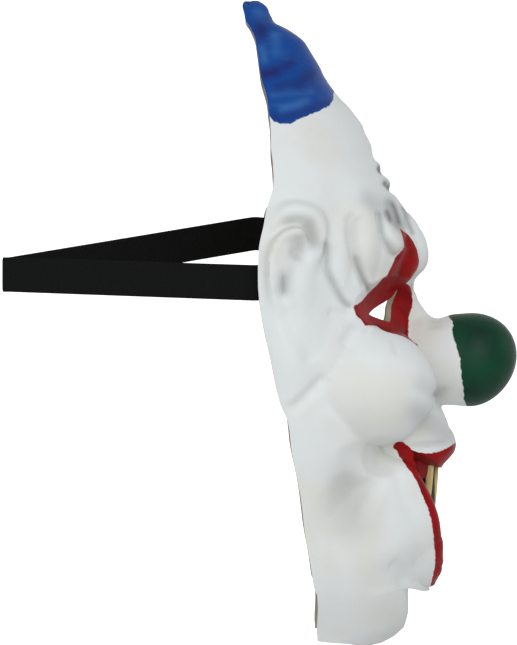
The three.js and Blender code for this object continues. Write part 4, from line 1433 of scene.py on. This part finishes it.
@dataclass
class HeadStrap:
    """Band of woven elastic from one side edge round the head to the other, folded at the back."""

    width: float = 18.0
    thick: float = 1.3
    reach: float = 217.4
    fold_radius: float = 3.6
    fold_rise: float = -12.8
    across: int = 24
    steps: int = 420
    right_way: tuple = ((0, 0, -17.0), (0, 12, -17.1), (1.2, 26, -17.8))
    left_way: tuple = ((-1.2, 26, 10.2), (-0.5, 20, 9.5), (0, 12, 9.1), (0, 0, 9.0))

    def route(self) -> Array:
        """Middle line of the strap as points (x, y, z), from the right tab over the fold to the left one."""
        low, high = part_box("head_strap")
        right_x, left_x, front = low[0] / MM + self.thick / 2, high[0] / MM - self.thick / 2, low[1] / MM
        angle = np.linspace(-80, 80, 15) * math.pi / 180
        fold = self.reach - self.fold_radius + self.fold_radius * np.cos(angle)
        return np.vstack([
            np.array(self.right_way) + (right_x, front, 0),
            joined(self.fold_radius * np.sin(angle), fold, self.fold_rise),
            np.array(self.left_way) + (left_x, front, 0),
        ])

    def build(self, finish: Material) -> Piece:
        """Sweeps a flat section with rounded edges along the route, with the weave's map on it."""
        line = self.route()
        step = np.concatenate([[0], np.cumsum(np.linalg.norm(np.diff(line, axis=0), axis=1))])
        s = np.linspace(0, step[-1], self.steps)
        middle = np.stack([np.interp(s, step, line[:, k]) for k in range(3)], axis=-1)
        for _ in range(6):
            middle[1:-1] = (middle[:-2] + 2 * middle[1:-1] + middle[2:]) / 4
        along = np.gradient(middle, axis=0)
        along /= np.linalg.norm(along, axis=1, keepdims=True)
        out = np.stack([along[:, 1], -along[:, 0], 0 * along[:, 0]], axis=-1)
        out /= np.linalg.norm(out, axis=1, keepdims=True)
        up = np.cross(out, along)
        u = np.linspace(-0.5, 0.5, self.across + 1)
        edge = np.sqrt(np.maximum(1 - (2 * np.abs(u)) ** 12, 0.02))
        w = np.concatenate([u, u[::-1]])
        t = np.concatenate([edge, -edge[::-1]]) / 2
        rings = middle[:, None] + w[None, :, None] * self.width * up[:, None]
        strap = make_solid("elastic_strap", rings + t[None, :, None] * self.thick * out[:, None], finish)
        uv = strap.data.uv_layers.new(name="weave")
        corner = np.empty(len(strap.data.loops), dtype=np.int32)
        strap.data.loops.foreach_get("vertex_index", corner)
        count = len(w)
        ring, place = np.minimum(corner // count, len(s) - 1), corner % count
        uv.data.foreach_set("uv", np.stack([w[place] + 0.5, s[ring]], axis=-1).astype(np.float32).ravel())
        shade_smooth(strap, 60)
        return strap


def soft_light(name: str, place: tuple, size: float, power: float) -> None:
    """Hangs a square soft light that looks at the mask.

    Args:
        name: Name of the light.
        place: Where it hangs, in metres.
        size: Its side, in metres.
        power: Its power, in watts.
    """
    data = bpy.data.lights.new(name, "AREA")
    data.shape, data.size, data.energy = "SQUARE", size, power
    light = bpy.data.objects.new(name, data)
    light.location = place
    aim = np.array([0.0, 0.03, -0.04]) - np.array(place)
    light.rotation_mode = "QUATERNION"
    light.rotation_quaternion = Vector(aim).to_track_quat("-Z", "Y")
    bpy.context.scene.collection.objects.link(light)


@dataclass
class Studio:
    """Camera at the photograph's side view, pale floor and soft white light. Lengths are in metres."""

    field_high: float = 0.3354
    sensor: float = 24.0
    floor_drop: float = 0.30
    floor_thick: float = 0.01
    floor_radius: float = 1.1
    base_light: float = 0.30
    side_light: float = 1.05
    sky_light: float = 0.10
    lights: tuple = (
        ("key", (-2.2, -1.0, 1.6), 2.0, 22),
        ("fill", (-1.6, 1.8, 0.4), 2.0, 8),
        ("front", (0.6, -2.4, 0.6), 1.6, 3),
    )

    def build(self) -> None:
        """Places the camera level at the wearer's right side, the floor, the lights and the white room."""
        camera = bpy.data.objects.new("camera", bpy.data.cameras.new("camera"))
        camera.data.sensor_fit = "VERTICAL"
        camera.data.sensor_height = self.sensor
        camera.data.lens = self.sensor * VIEW_DISTANCE * MM / self.field_high
        camera.location = np.array([-VIEW_DISTANCE, *VIEW_MIDDLE]) * MM
        camera.rotation_euler = (math.pi / 2, 0, -math.pi / 2)
        bpy.context.scene.collection.objects.link(camera)
        bpy.context.scene.camera = camera
        angle = full_turn(96)
        levels = np.array([[-self.floor_drop - self.floor_thick], [-self.floor_drop]])
        disc = joined(self.floor_radius * np.cos(angle), self.floor_radius * np.sin(angle), levels)
        floor = make_solid("floor", disc / MM, StudioWhite().build())
        for light in self.lights:
            soft_light(*light)
        bpy.context.scene.view_settings.view_transform = "Standard"
        self.white_room()

    def white_room(self) -> None:
        """Surrounds the mask with light, base + side * x^4 + sky * z, and with white for the camera."""
        world = bpy.data.worlds.new("white_room")
        bpy.context.scene.world = world
        world.use_nodes = True
        room = Nodes(world.node_tree)
        way = room.node("ShaderNodeTexCoord").outputs["Generated"]
        parts = room.node("ShaderNodeSeparateXYZ", {0: way}).outputs
        across = room.math("POWER", room.math("ABSOLUTE", parts[0]), 4.0)
        level = room.math("MULTIPLY_ADD", across, self.side_light, self.base_light)
        level = room.math("MULTIPLY_ADD", parts[2], self.sky_light, level)
        seen = room.node("ShaderNodeLightPath").outputs["Is Camera Ray"]
        back = room.tree.nodes["Background"]
        back.inputs[0].default_value = (1, 1, 1, 1)
        room.join(room.math("MAXIMUM", level, seen), back.inputs[1])


def main() -> None:
    """Builds the studio and the mask's pieces in order, and reports each one."""
    logging.basicConfig(level=logging.INFO, format="%(message)s")
    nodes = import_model()["nodes"]
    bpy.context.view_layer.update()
    Studio().build()
    paint, raw = PaintedLatex().build(), RawLatex().build()
    shell, teeth = Shell(Face()), Teeth()
    moulded = shell.build(paint, raw, MouthPaint().build())
    teeth.build(moulded, ToothPaint().build())
    shade_smooth(moulded, 48)
    shell.mark_paint(moulded.data)
    teeth.mark_outline_and_gap_shade(moulded.data)
    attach(moulded, BODY)
    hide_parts("mask_shell")
    LOG.info("moulded face: %d faces", len(moulded.data.polygons))
    strap = HeadStrap().build(WovenElastic().build())
    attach(strap, BODY)
    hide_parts("head_strap")
    LOG.info("strap: %d faces", len(strap.data.polygons))
    for name in ("strap_patch_right", "strap_patch_left"):
        materials = nodes[name].data.materials
        materials.clear()
        materials.append(raw)


if __name__ == "__main__":
    main()
